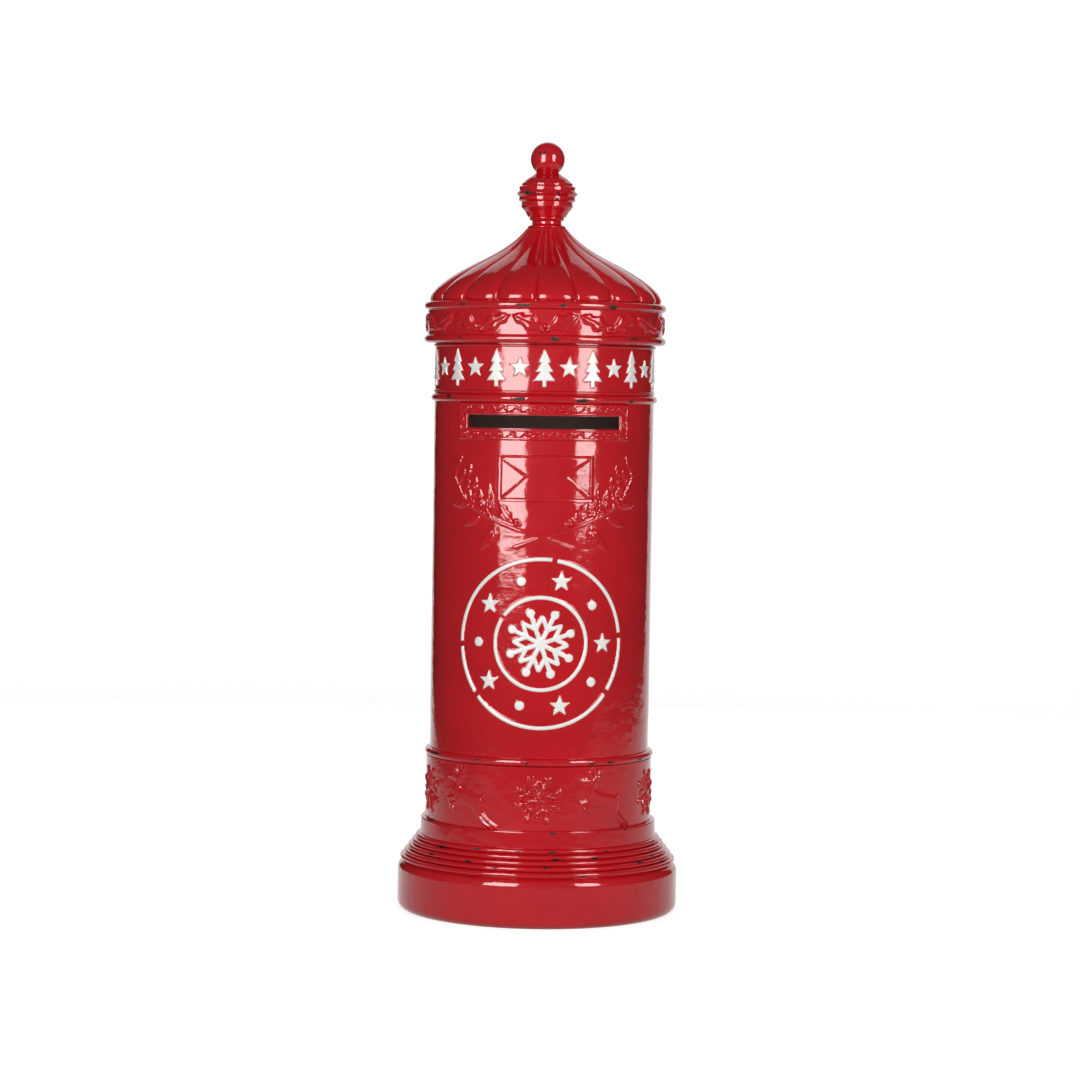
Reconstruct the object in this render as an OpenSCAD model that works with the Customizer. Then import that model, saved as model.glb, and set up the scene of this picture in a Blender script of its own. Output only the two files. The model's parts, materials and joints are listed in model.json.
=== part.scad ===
// Decorative letter box for Christmas post: a round pillar on a stepped plinth, with a lobed
// dome for a lid, a letter slot in front and a hinged door at the back.
// Millimetres, +Z up, the front faces -Y, the origin is in the middle of the underside.

/* [Plinth] */
// Radius of the drum that stands on the floor
base_r = 183; // [181:1:186]
// Height of that drum
base_h = 65; // [62:1:67]
// Number of rolled ribs that step in above the drum
rib_count = 5; // [4:1:6]
// Height of the ribbed part
ribs_h = 34; // [30:1:36]
// Height of the plain flared band above the ribs
band_h = 22; // [20:1:24]
// Height of the frieze with snowflakes and reindeer
frieze_h = 81; // [80:1:84]
// Radius of that frieze
frieze_r = 147.5; // [147:0.1:148]

/* [Pillar] */
// Radius of the pillar
shaft_r = 143; // [142.5:0.1:143.5]
// Wall of the hollow casting
wall = 7.5; // [7:0.1:8]
// Length of the plain pillar between its two beads
shaft_h = 450; // [446:1:454]
// Height of the band under the lid that carries the white motifs
letter_band_h = 60; // [58:1:62]
// Height of the round beads
bead_h = 10.5; // [9:0.5:11]
// Number of white motifs round the front of the band
motif_count = 13; // [9:2:13]

/* [Slot] */
// Width of the letter slot
slot_w = 190; // [170:1:192]
// Height of the letter slot
slot_h = 16.5; // [12:0.5:18]
// How far the slot's middle lies under the top of the pillar
slot_drop = 24; // [23:0.5:25]

/* [Lid] */
// Number of lobes round the dome
lobe_count = 18; // [12:1:24]
// Depth of the creases between the lobes at the rim
lobe_depth = 7; // [4:0.5:8]
// Outer radius of the lid's two beads
lid_bead_r = 157.6; // [156:0.1:159]
// Number of holly sprigs round the lid
holly_count = 11; // [9:1:12]
// Radius of the ball on top
ball_r = 22.3; // [21:0.1:23]

/* [Door] */
// Width of the doorway in the back
doorway_w = 154; // [150:1:156]
// Height of the doorway
doorway_h = 262; // [255:1:264]
// Height of the doorway's sill above the floor
sill_z = 235; // [234:1:238]
// Length of each hinge
hinge_h = 50; // [40:5:60]
// Radius of the hinge pins
pin_r = 1.5; // [1.3:0.1:1.8]

/* [Hidden] */
$fn = 96;

// Heights of the tiers, from the floor up
ribs_z = base_h;
band_z = ribs_z + ribs_h;
frieze_z = band_z + band_h;
foot_bead_z = frieze_z + frieze_h;
shaft_z = foot_bead_z + bead_h;
neck_bead_z = shaft_z + shaft_h;
letter_z = neck_bead_z + bead_h + 5;
rim_z = letter_z + letter_band_h;
slot_z = neck_bead_z - slot_drop;
inner_r = shaft_r - wall;

// Plinth: the band flares downwards, and each rib stands out further than the one above
band_top_r = 152;
band_foot_r = 156;
rib_top_r = 160;
rib_foot_r = 180;
base_round = 12;
foot_rim_w = 10;
foot_rim_t = 7;
foot_bead_r = 149.5;
neck_bead_r = 147.4;

// Relief heights over the pillar, and how deep a relief is rooted in the wall
relief = 2.4;
thin_relief = 1.5;
root = 2;

// Slot frame: an outer border and a lip round the slot, both following the pillar
frame_half_angle = 48.4;
frame_h = 47;
frame_rule = 3;
lip_half_angle = 43.2;
lip_h = 23;
lip_rule = 2.4;

// Envelope under the slot
envelope_z = 565.8;
envelope_half_angle = 25;
envelope_h = 58.4;
envelope_rule = 2;

// Holly sprigs under the envelope, given by arcs along the pillar from the front and heights
sprig_u = -42;
sprig_z = 520;
sprig_angle = sprig_u / shaft_r * 180 / PI;
sprig_stem = [
    [41, 471], [14, 483], [-10, 491], [-34.7, 503], [-53, 509.5], [-72.6, 517], [-92, 530],
    [-108.8, 548], [-118.5, 568], [-120, 584]
];
broad_leaves = [
    [[-30, 508], [-54, 534], 15], [[-50, 506], [-72, 481], 16], [[-76, 515], [-105, 501], 14],
    [[-97, 532], [-124, 527], 12], [[-26, 500], [-44, 486], 12]
];
narrow_leaves = [
    [[-60, 512], [-65, 556]], [[-71, 516], [-77, 556]], [[-82, 523], [-85, 569]],
    [[-92, 531], [-92, 581]], [[-103, 542], [-106, 594]], [[-112, 552], [-128, 566]]
];
berries = [[-25, 510], [-31, 515.5], [-24, 518.5]];

// Round panel of two broken rings
roundel_z = 356;
ring_outer_r = 110;
ring_inner_r = 61;
ring_w = 4.7;

// Ledge inside, at the top of the plinth, that carries the floor panel
ledge_r = 118;
ledge_z = 214;
panel_t = 8;
panel_screw_r = 126.5;
panel_screw_angles = [30, 150, 270];

// Doorway: straight jambs returned inwards, with a stop that the door's rim closes against
jamb_t = 7;
jamb_y = 99;
stop_y = 105;
stop_t = 4.5;
stop_w = 7;
door_gap = 2;
hinge_gap = 4;
rim_y = 110;
rim_t = 5;
door_t = 5;
door_left = -doorway_w / 2 + door_gap;
door_right = doorway_w / 2 - hinge_gap;
door_w = door_right - door_left;
door_z = sill_z + door_gap;
door_h = doorway_h - 2 * door_gap;
head_z = sill_z + doorway_h;

// Hinges: five knuckles each, the pin just outside the pillar's surface
pin_x = doorway_w / 2 - hinge_gap / 2;
pin_y = 127;
knuckle_r = 3.5;
knuckle_count = 5;
knuckle_gap = 0.15;
leaf_t = 1.5;
leaf_w = 16.5;
knuckle_clear = 0.5;
frame_bore_r = pin_r + 0.02;
door_bore_r = pin_r + 0.05;
upper_hinge_z = sill_z + 0.82 * doorway_h;
lower_hinge_z = sill_z + 0.18 * doorway_h;
screw_spread = 0.6 * hinge_h;
leaf_screw_y = 116.5;
leaf_screw_r = 1.25;
leaf_screw_l = 7.4;
screw_clear = 0.05;

// Knob on the door's free side, on a radial line through the wall
knob_angle = 25;
knob_z = sill_z + doorway_h / 2;
knob_screw_r = 2;
knob_boss_r = 134;

// Magnetic catch under the head of the doorway
catch_x = -40;
catch_w = 28;
catch_h = 22;
catch_y = 96;
catch_face_y = 109.9;
catch_ear_w = 10;
catch_ear_t = 3;
catch_screw_y = 103.5;
catch_screw_r = 1.5;
magnet_size = [22, 10.95, 10.5];
magnet_z = head_z - 14.5;
strike_t = 1.5;
strike_size = [24, 13];
strike_z = head_z - 14.5;

// Lid: a spigot drops into the pillar, the flange rests on its rim
spigot_depth = 15;
spigot_gap = 0.3;
spigot_t = 8;
lid_bead_h = 10.7;
lid_frieze_h = 31;
lid_frieze_r = 152.8;
lid_inner_r = 144;
lid_flange_t = 8;
lid_frieze_z = rim_z + lid_bead_h;
lid_upper_bead_z = lid_frieze_z + lid_frieze_h + 1;
dome_z = lid_upper_bead_z + lid_bead_h + 3;
dome_r = 151;
dome_h = 94;
crown_r = 24.5;
crown_z = dome_z + dome_h;
crown_inner_z = crown_z - 22;

// Ogee of the dome as two cubic curves that share a tangent, [radius, height over its foot]
ogee_low = [[dome_r, 0], [dome_r, 14], [114, 36], [90, 48]];
ogee_high = [[90, 48], [67.2, 59.4], [41.5, 72], [crown_r, dome_h]];
ogee_steps = 8;
lobe_steps = 6;
// Angle of the first crease, from +X
first_crease = -85.5;

// Finial: collar, neck, ribbed bulb and ball, heights over the crown
collar_h = 5.5;
collar_r = 24.8;
neck_r = 18.2;
bowl_z = 14;
bulb_bowl = [[18.4, bowl_z], [20.4, 16.6], [25.8, 21.2], [30.8, 25.9], [33, 29.6]];
bulb_ribs = [[31, 33.7], [36.5, 37.2], [44.8, 39.9], [53.3, 37], [57.6, 33.6]];
groove = 2.2;
shoulder_z = 72.6;
shoulder_r = 14.4;
bulb_shoulder = [[31.8, 59.3], [29.5, 61.4], [25.2, 65.1], [19.2, 68.8], [shoulder_r, shoulder_z]];
ball_z = 89.7;
stud_r = 4;
stud_up = 32;
stud_down = 11;

// A cubic curve through its four control points
function cubic(p, t) = pow(1 - t, 3) * p[0] + 3 * pow(1 - t, 2) * t * p[1]
    + 3 * (1 - t) * t * t * p[2] + pow(t, 3) * p[3];

// Section of the pillar, as radius against height
module tier(z, h, r) {
    translate([0, z]) square([r, h]);
}

// A half-round bead that reaches out to r
module bead(z, h, r) {
    tier(z, h, r - h / 2);
    translate([r - h / 2, z + h / 2]) circle(r = h / 2);
}

// The drum of the plinth, rounded at both its edges
module drum() {
    tier(0, base_h, base_r - base_round);
    tier(base_round, base_h - 2 * base_round, base_r);
    translate([base_r - base_round, base_round]) circle(r = base_round);
    translate([base_r - base_round, base_h - base_round]) circle(r = base_round);
}

module body_outline() {
    rib_h = ribs_h / rib_count;
    drum();
    for (i = [0:rib_count - 1])
        bead(ribs_z + i * rib_h, rib_h, rib_foot_r + (rib_top_r - rib_foot_r) * i / (rib_count - 1));
    polygon([[0, band_z], [band_foot_r, band_z], [band_top_r, frieze_z], [0, frieze_z]]);
    tier(frieze_z, frieze_h, frieze_r);
    bead(foot_bead_z, bead_h, foot_bead_r);
    tier(shaft_z, shaft_h, shaft_r);
    bead(neck_bead_z, bead_h, neck_bead_r);
    tier(neck_bead_z + bead_h, 5, shaft_r);
    bead(letter_z - 4, 4, shaft_r + 1.5);
    tier(letter_z, letter_band_h, shaft_r);
    bead(rim_z - 5, 4, shaft_r + 2);
}

// The hollow: a flat foot rim, wide in the plinth, a ledge for the floor panel, then straight
// to the rim
module body_hollow() {
    plinth_r = base_r - 12;
    foot_r = plinth_r - foot_rim_w;
    neck_in = frieze_r - wall - 0.5;
    polygon([
        [0, -1], [foot_r, -1], [foot_r, foot_rim_t], [plinth_r, foot_rim_t + foot_rim_w],
        [plinth_r, base_h - 7], [band_foot_r - 8, band_z - 3],
        [neck_in, frieze_z - 5], [neck_in, ledge_z - 18], [ledge_r, ledge_z - 8],
        [ledge_r, ledge_z], [inner_r, ledge_z], [inner_r, rim_z + 1], [0, rim_z + 1]
    ]);
}

// A flat outline laid on the pillar: drawn in front of it, x to the right and y up, then
// turned to its angle and cut to the relief's height over the surface
module raised(r, height) {
    intersection() {
        difference() {
            cylinder(r = r + height, h = rim_z + lid_bead_h + lid_frieze_h);
            translate([0, 0, -1]) cylinder(r = r - root, h = rim_z + 100);
        }
        union() children();
    }
}

module stamp(angle, z, r) {
    rotate([0, 0, angle]) translate([0, -r / 2, z]) rotate([90, 0, 0])
        linear_extrude(r) children();
}

// Eight-armed snowflake with a bead on each tip and a pair of twigs on each arm
module snowflake(reach, arm_w) {
    tip_r = 0.13 * reach;
    for (i = [0:7]) rotate(19 + 45 * i) {
        translate([0, -arm_w / 2]) square([reach - tip_r, arm_w]);
        translate([reach - tip_r, 0]) circle(r = tip_r);
        for (side = [-1, 1]) translate([0.42 * reach, 0]) rotate(48 * side)
            translate([0, -arm_w / 2]) square([0.36 * reach, arm_w]);
    }
}

// Leaping reindeer seen from its left side, facing left, drawn about its middle
module reindeer() {
    polygon([
        [29.8, -39.9], [21.1, -35.5], [10.9, -26.9], [3.9, -15.7], [2.2, -14.1], [-16, -10.9],
        [-26.5, -14], [-27.5, -15], [-25.6, -22], [-26.1, -23], [-27.2, -23.4], [-28.2, -22.7],
        [-32.2, -13.2], [-31.5, -11.5], [-27.5, -8.3], [-34.2, -8.1], [-34.7, -9], [-31.5, -18.1],
        [-32.5, -19.4], [-34.2, -18.8], [-40.1, -6.9], [-40.3, -5.5], [-38.8, -3.8], [-29.2, -1],
        [-28.9, 4.6], [-26.5, 10.9], [-25.3, 16.2], [-26.9, 18.3], [-38.8, 20.3], [-39.6, 21.1],
        [-39.8, 22.5], [-38.4, 23.8], [-33.9, 24.3], [-30.7, 25.4], [-20.3, 25.6], [-21.6, 28.1],
        [-27.7, 34.4], [-26.9, 35.2], [-23.9, 33.7], [-22.8, 38.2], [-22, 38.8], [-21.2, 38.2],
        [-21.5, 35.8], [-21.6, 32.3], [-17.4, 26.8], [-14.3, 30.5], [-15.6, 36.8], [-14.4, 36.8],
        [-12.5, 32.7], [-8.6, 38.6], [-7.2, 38.2], [-10.8, 30.5], [-13.8, 27], [-12.9, 26.6],
        [-9, 27.8], [-8.2, 27], [-14.4, 21.8], [-15.8, 12.3], [-15, 9.5], [-13.5, 7.8],
        [-10.8, 6.6], [13, 1.2], [15.5, 1.4], [20.7, 3.6], [21.8, 3.2], [21.8, 1.8], [18.2, -2],
        [19.6, -5.9], [19.4, -14.3], [20.8, -20.2], [28.8, -29.3], [40, -36.8], [40.5, -37.7],
        [40, -39.2], [38.2, -39.3], [28.1, -33.8], [17.2, -25.4], [17.5, -26.5], [22.1, -31.8],
        [31.2, -37.7], [31.2, -39.2]
    ]);
}

// How far a leaf's scalloped edge lies from its midrib, as a share of its width
function edge_share(at) = 0.53 - 1.1 * pow(at - 0.5, 2);

// Holly leaf along +x from its stalk: two arcs, scalloped between the prickles
module holly_leaf(length, width) {
    arc_r = (length * length / 4 + width * width / 4) / width;
    scallop_r = 0.2 * length;
    difference() {
        intersection() {
            translate([length / 2, arc_r - width / 2]) circle(r = arc_r);
            translate([length / 2, width / 2 - arc_r]) circle(r = arc_r);
        }
        for (side = [-1, 1], at = [0.2, 0.5, 0.8])
            translate([at * length, side * (width * edge_share(at) + scallop_r * 0.72)])
                circle(r = scallop_r);
    }
}

// Two leaves that spread from a pair of berries
module holly_pair(length, width, spread) {
    for (side = [-1, 1]) rotate(90 + spread * side) translate([2, 0]) holly_leaf(length, width);
    for (side = [-1, 1]) translate([2.7 * side, 0]) circle(r = 2.6);
}

// A point given by its arc along the pillar from the front and its height, on the flat of a
// stamp that faces the sprig's middle
function on_stamp(p) = [
    shaft_r * sin((p[0] - sprig_u) / shaft_r * 180 / PI), p[1] - sprig_z
];

// A leaf from its stalk to its tip, both given on the pillar
module leaf_between(stalk, tip, width) {
    a = on_stamp(stalk);
    b = on_stamp(tip);
    translate(a) rotate(atan2(b[1] - a[1], b[0] - a[0])) holly_leaf(norm(b - a), width);
}

// The left sprig: a bowed stem, broad leaves under it, narrow ones above it, and berries
module holly_sprig() {
    polygon(concat(
        [for (p = sprig_stem) on_stamp(p) + [1.2, 1.6]],
        [for (i = [len(sprig_stem) - 1:-1:0]) on_stamp(sprig_stem[i]) - [1.2, 1.6]]
    ));
    for (leaf = broad_leaves) leaf_between(leaf[0], leaf[1], leaf[2]);
    for (leaf = narrow_leaves) leaf_between(leaf[0], leaf[1], 7.5);
    for (berry = berries) translate(on_stamp(berry)) circle(r = 3.6);
}

module star(reach, points, inner) {
    polygon([for (i = [0:2 * points - 1]) let (r = i % 2 == 0 ? reach : inner * reach)
        r * [sin(180 * i / points), cos(180 * i / points)]]);
}

// Fir tree of three tiers on a short trunk
module fir_tree(w, h) {
    translate([-w * 0.09, -h / 2]) square([w * 0.18, h * 0.2]);
    for (i = [0:2]) let (foot = -0.34 + 0.24 * i, half = 0.5 - 0.11 * i)
        polygon([[-half * w, foot * h], [half * w, foot * h], [0, (foot + 0.36) * h]]);
}

// A panel that follows the pillar over a half angle to each side of the front, rooted in it
module panel(z, h, half_angle, height, depth) {
    rotate([0, 0, -90 - half_angle]) rotate_extrude(angle = 2 * half_angle)
        translate([shaft_r - depth, z - h / 2]) square([depth + height, h]);
}

// A rectangular rule that follows the pillar, centred on the front
module border(z, h, half_angle, rule, height, depth) {
    rule_angle = rule / shaft_r * 180 / PI;
    difference() {
        panel(z, h, half_angle, height, depth);
        panel(z, h - 2 * rule, half_angle - rule_angle, height + 1, depth + 1);
    }
}

// A ring on the pillar: all that lies at its radius from a point on the front
module ring(r) {
    difference() {
        translate([0, -shaft_r, roundel_z]) sphere(r = r);
        translate([0, -shaft_r, roundel_z]) sphere(r = r - ring_w);
    }
}

// Saw cuts across a ring, at clockwise angles from its top
module ring_gaps(r, angles) {
    for (a = angles) translate([0, -shaft_r, roundel_z]) rotate([0, a, 0])
        translate([-2, -40, r - 15]) cube([4, 140, 25]);
}

module envelope() {
    border(envelope_z, envelope_h, envelope_half_angle, envelope_rule, thin_relief, root + 0.5);
    flap_x = shaft_r * sin(envelope_half_angle) - 4;
    raised(shaft_r, thin_relief - 0.4) for (side = [-1, 1], end = [-1, 1])
        stamp(0, envelope_z, shaft_r)
            polygon([
                [side * flap_x, end * (envelope_h / 2 - 3)],
                [side * (flap_x - 2), end * (envelope_h / 2 - 1.5)],
                [side * 24, end * 0.5], [side * 24, -end * 1.5]
            ]);
}

module front_reliefs() {
    border(slot_z, frame_h, frame_half_angle, frame_rule, relief, root + 1);
    border(slot_z, lip_h, lip_half_angle, lip_rule, thin_relief, root + 1.5);
    envelope();
    raised(shaft_r, relief) {
        stamp(sprig_angle, sprig_z, shaft_r) holly_sprig();
        stamp(1.2 - sprig_angle, sprig_z + 1, shaft_r) mirror([1, 0]) holly_sprig();
    }
    difference() {
        intersection() {
            panel(roundel_z, 2 * ring_outer_r + 10, 60, relief, root + 0.5);
            union() {
                ring(ring_outer_r);
                ring(ring_inner_r);
            }
        }
        ring_gaps(ring_outer_r, [9, 85, 125, 232, 268]);
        ring_gaps(ring_inner_r, [303]);
    }
    raised(shaft_r, relief) {
        stamp(0, roundel_z, shaft_r) snowflake(44, 5);
        for (i = [0:9]) let (a = 36 * i + 18, turn = 83 / shaft_r * 180 / PI)
            stamp(turn * sin(a), roundel_z + 83 * cos(a), shaft_r)
                if (i % 2 == 0) star(13, 5, 0.42); else circle(r = 6);
    }
}

module letter_band_motifs() {
    pitch = 12.6;
    raised(shaft_r, relief) for (i = [0:motif_count - 1])
        stamp(pitch * (i - (motif_count - 1) / 2), letter_z + letter_band_h / 2 - 1, shaft_r)
            if (i % 2 == 0) fir_tree(27, 48); else star(14, 5, 0.42);
}

module plinth_frieze() {
    raised(frieze_r, relief) for (i = [0:4]) {
        stamp(72 * i, frieze_z + frieze_h / 2 - 1, frieze_r) snowflake(32, 3);
        stamp(72 * i + 36, frieze_z + frieze_h / 2, frieze_r) reindeer();
    }
}

// Box frame round the doorway, cut back to the middle of the wall so that it stays inside
module door_surround() {
    intersection() {
        translate([-doorway_w / 2 - jamb_t, jamb_y, sill_z - jamb_t])
            cube([doorway_w + 2 * jamb_t, 60, doorway_h + 2 * jamb_t]);
        cylinder(r = shaft_r - wall / 2, h = rim_z);
    }
}

module doorway() {
    translate([-doorway_w / 2, stop_y + stop_t, sill_z]) cube([doorway_w, 60, doorway_h]);
    translate([-doorway_w / 2, jamb_y - 20, sill_z]) cube([doorway_w, 20 + stop_y - jamb_y, doorway_h]);
    translate([-doorway_w / 2 + stop_w, jamb_y - 20, sill_z + stop_w])
        cube([doorway_w - 2 * stop_w, 60, doorway_h - stop_w]);
}

module body_casting() {
    color("firebrick") difference() {
        union() {
            rotate_extrude() difference() {
                body_outline();
                body_hollow();
            }
            door_surround();
            front_reliefs();
            letter_band_motifs();
            plinth_frieze();
        }
        translate([-slot_w / 2, -shaft_r - 20, slot_z - slot_h / 2]) cube([slot_w, 70, slot_h]);
        doorway();
        for (z = [upper_hinge_z, lower_hinge_z]) hinge_screw_pair(z, 1, screw_clear);
        for (side = [-1, 1]) catch_screw(side, screw_clear);
        for (a = panel_screw_angles) panel_screw(a, screw_clear);
    }
}

// The lobed dome as one closed skin: rings of the ogee, each drawn in at the creases
function lobe_r(r, a) =
    let (u = 0.99 * (2 * abs(a * lobe_count / 360 - floor(a * lobe_count / 360) - 0.5)))
        r - lobe_depth * r / dome_r * (1 - sqrt(1 - u * u));
function ogee() = concat(
    [[dome_r - 1, -6]],
    [for (i = [0:ogee_steps]) cubic(ogee_low, i / ogee_steps)],
    [for (i = [1:ogee_steps]) cubic(ogee_high, i / ogee_steps)]
);

module lobed_dome() {
    rings = ogee();
    around = lobe_count * lobe_steps;
    count = len(rings);
    points = concat(
        [for (ring = rings, j = [0:around - 1]) let (a = 360 * j / around, r = lobe_r(ring[0], a))
            [r * cos(a + first_crease), r * sin(a + first_crease), dome_z + ring[1]]],
        [[0, 0, dome_z + rings[0][1]], [0, 0, crown_z]]
    );
    foot = count * around;
    sides = [for (i = [0:count - 2], j = [0:around - 1]) let (k = (j + 1) % around)
        [i * around + j, (i + 1) * around + j, (i + 1) * around + k, i * around + k]];
    caps = [for (j = [0:around - 1]) let (k = (j + 1) % around) each [
        [foot, j, k], [foot + 1, (count - 1) * around + k, (count - 1) * around + j]
    ]];
    polyhedron(points = points, faces = concat(sides, caps));
}

// Section of everything on the lid but its dome
module lid_rim() {
    spigot_r = inner_r - spigot_gap;
    translate([spigot_r - spigot_t, rim_z - spigot_depth]) square([spigot_t, spigot_depth + lid_flange_t]);
    bead(rim_z, lid_bead_h, lid_bead_r);
    tier(lid_frieze_z, lid_frieze_h + 1, lid_frieze_r);
    bead(lid_upper_bead_z, lid_bead_h, lid_bead_r);
    tier(lid_upper_bead_z + lid_bead_h, 3, dome_r - 1);
}

// The lid's hollow follows the ogee at a wall's distance
module lid_hollow() {
    spigot_r = inner_r - spigot_gap - spigot_t;
    inside = [for (i = [0:4:12]) [lid_inner_r - 4 - 5.2 * i, dome_z + 8 + 2.7 * i]];
    polygon(concat(
        [[0, rim_z - spigot_depth - 1], [spigot_r, rim_z - spigot_depth - 1],
            [spigot_r, rim_z + lid_flange_t], [lid_inner_r, rim_z + lid_flange_t + 3],
            [lid_inner_r, dome_z]],
        inside,
        [[44, crown_inner_z - 8], [22, crown_inner_z], [0, crown_inner_z]]
    ));
}

module lid_casting() {
    color("firebrick") difference() {
        union() {
            rotate_extrude() lid_rim();
            lobed_dome();
            raised(lid_frieze_r, relief + 1) for (i = [0:holly_count - 1])
                stamp(360 / holly_count * i, lid_frieze_z + 6, lid_frieze_r) holly_pair(40, 17, 67);
        }
        rotate_extrude() lid_hollow();
        translate([0, 0, crown_inner_z - 1]) cylinder(r = stud_r + 0.4, h = 30);
    }
}

// Turned outline of the finial; the ribs are sharp, with a groove between each pair
module finial() {
    ribs = [for (i = [0:len(bulb_ribs) - 1]) each (i == 0 ? [bulb_ribs[0]] : [
        [(bulb_ribs[i - 1][0] + bulb_ribs[i][0]) / 2, (bulb_ribs[i - 1][1] + bulb_ribs[i][1]) / 2 - groove],
        bulb_ribs[i]
    ])];
    color("firebrick") translate([0, 0, crown_z]) difference() {
        union() {
            rotate_extrude() {
                tier(0, collar_h, collar_r);
                tier(0, bowl_z + 1, neck_r);
                polygon(concat(
                    [[0, bowl_z]], bulb_bowl, [for (rib = ribs) [rib[1], rib[0]]],
                    bulb_shoulder, [[0, shoulder_z]]
                ));
                tier(shoulder_z, ball_z - shoulder_z, shoulder_r);
            }
            translate([0, 0, ball_z]) sphere(r = ball_r);
        }
        translate([0, 0, -1]) cylinder(r = stud_r + screw_clear, h = stud_up + 1);
    }
}

module finial_stud() {
    color("silver") translate([0, 0, crown_inner_z - stud_down])
        cylinder(r = stud_r, h = crown_z - crown_inner_z + stud_down + stud_up - 1);
}

module finial_washer() {
    color("silver") translate([0, 0, crown_inner_z - 1.6]) difference() {
        cylinder(r = 12, h = 1.6);
        translate([0, 0, -1]) cylinder(r = stud_r + 0.2, h = 4);
    }
}

module finial_nut() {
    color("silver") translate([0, 0, crown_inner_z - 8.1]) difference() {
        cylinder(r = 7.5, h = 6.5, $fn = 6);
        translate([0, 0, -1]) cylinder(r = stud_r + screw_clear, h = 9);
    }
}

// The door: a curved skin, a returned rim that closes on the stop, and two cast pads
module rear_door() {
    color("firebrick") difference() {
        union() {
            intersection() {
                difference() {
                    cylinder(r = shaft_r, h = rim_z);
                    cylinder(r = shaft_r - door_t, h = rim_z);
                }
                translate([door_left, 60, door_z]) cube([door_w, 100, door_h]);
            }
            intersection() {
                cylinder(r = shaft_r - door_t / 2, h = rim_z);
                union() {
                    difference() {
                        translate([door_left, rim_y, door_z]) cube([door_w, 60, door_h]);
                        translate([door_left + rim_t, rim_y - 1, door_z + rim_t])
                            cube([door_w - 2 * rim_t, 62, door_h - 2 * rim_t]);
                    }
                    translate([catch_x - strike_size[0] / 2, rim_y + strike_t, strike_z - 8])
                        cube([strike_size[0], 60, 15]);
                    rotate([0, 0, knob_angle]) translate([0, knob_boss_r, knob_z]) rotate([-90, 0, 0])
                        cylinder(r = 8, h = 20);
                }
            }
        }
        for (z = [upper_hinge_z, lower_hinge_z]) hinge_screw_pair(z, -1, screw_clear);
        knob_screw_shank(screw_clear);
        strike_screw_shape(screw_clear);
    }
}

// One leaf of a hinge: side +1 is the frame's leaf, -1 the door's. Its plate stops short of
// the other leaf's knuckles, and tabs join it to its own.
module hinge_leaf(z, side) {
    step = hinge_h / knuckle_count;
    knuckle_h = step - knuckle_gap;
    own = [for (i = [0:knuckle_count - 1]) if (i % 2 == (side > 0 ? 0 : 1)) i];
    plate_x = side > 0 ? pin_x + hinge_gap / 2 - leaf_t : pin_x - hinge_gap / 2;
    bore_r = side > 0 ? frame_bore_r : door_bore_r;
    clear_y = pin_y - knuckle_r - knuckle_clear;
    difference() {
        union() {
            translate([plate_x, pin_y - leaf_w, z - hinge_h / 2])
                cube([leaf_t, clear_y - pin_y + leaf_w, hinge_h]);
            for (i = own) translate([0, 0, z - hinge_h / 2 + i * step + knuckle_gap / 2]) {
                translate([pin_x, pin_y, 0]) cylinder(r = knuckle_r, h = knuckle_h);
                translate([plate_x, clear_y - 1, 0]) cube([leaf_t, pin_y - clear_y + 1, knuckle_h]);
            }
        }
        translate([pin_x, pin_y, z - hinge_h]) cylinder(r = bore_r, h = 2 * hinge_h);
        hinge_screw_pair(z, side, screw_clear);
    }
}

// The pin, with a low head at each end to hold it in the knuckles
module hinge_pin(z) {
    translate([pin_x, pin_y, z - hinge_h / 2]) cylinder(r = pin_r, h = hinge_h);
    for (end = [z - hinge_h / 2 - 1.2, z + hinge_h / 2])
        translate([pin_x, pin_y, end]) cylinder(r = 2.6, h = 1.2);
}

module upper_hinge_frame_leaf() {
    color("darkgoldenrod") hinge_leaf(upper_hinge_z, 1);
}

module upper_hinge_door_leaf() {
    color("goldenrod") hinge_leaf(upper_hinge_z, -1);
}

module upper_hinge_pin() {
    color("silver") hinge_pin(upper_hinge_z);
}

module lower_hinge_frame_leaf() {
    color("darkgoldenrod") hinge_leaf(lower_hinge_z, 1);
}

module lower_hinge_door_leaf() {
    color("goldenrod") hinge_leaf(lower_hinge_z, -1);
}

module lower_hinge_pin() {
    color("silver") hinge_pin(lower_hinge_z);
}

// Countersunk screws of one leaf, heads flush with its face; clear widens them for the holes
module hinge_screw_pair(z, side, clear) {
    head_x = side > 0 ? pin_x + hinge_gap / 2 - leaf_t : pin_x - hinge_gap / 2 + leaf_t;
    for (dz = [-1, 1]) translate([head_x, leaf_screw_y, z + dz * screw_spread / 2])
        rotate([0, 90 * side, 0]) countersunk(leaf_screw_r + clear, leaf_screw_l + clear, 2.6 + clear);
}

module countersunk(r, length, head_r) {
    cylinder(r = r, h = length);
    cylinder(r1 = head_r, r2 = r, h = 1.3);
}

module door_knob() {
    color("black") difference() {
        rotate([0, 0, knob_angle]) translate([0, shaft_r - 2, knob_z]) rotate([-90, 0, 0]) difference() {
            rotate_extrude() {
                polygon([[0, 0], [7, 0], [7, 5], [5, 9], [5, 13], [0, 13]]);
                translate([6.5, 18]) circle(r = 6.5);
                translate([0, 11.5]) square([6.5, 13]);
            }
            translate([0, 0, -1]) cylinder(r = knob_screw_r + screw_clear, h = 14);
        }
        cylinder(r = shaft_r, h = rim_z);
    }
}

// Shank of the knob's screw, along the knob's radial line
module knob_screw_shank(clear) {
    rotate([0, 0, knob_angle]) translate([0, knob_boss_r - 1, knob_z]) rotate([-90, 0, 0])
        cylinder(r = knob_screw_r + clear, h = 20);
}

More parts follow.
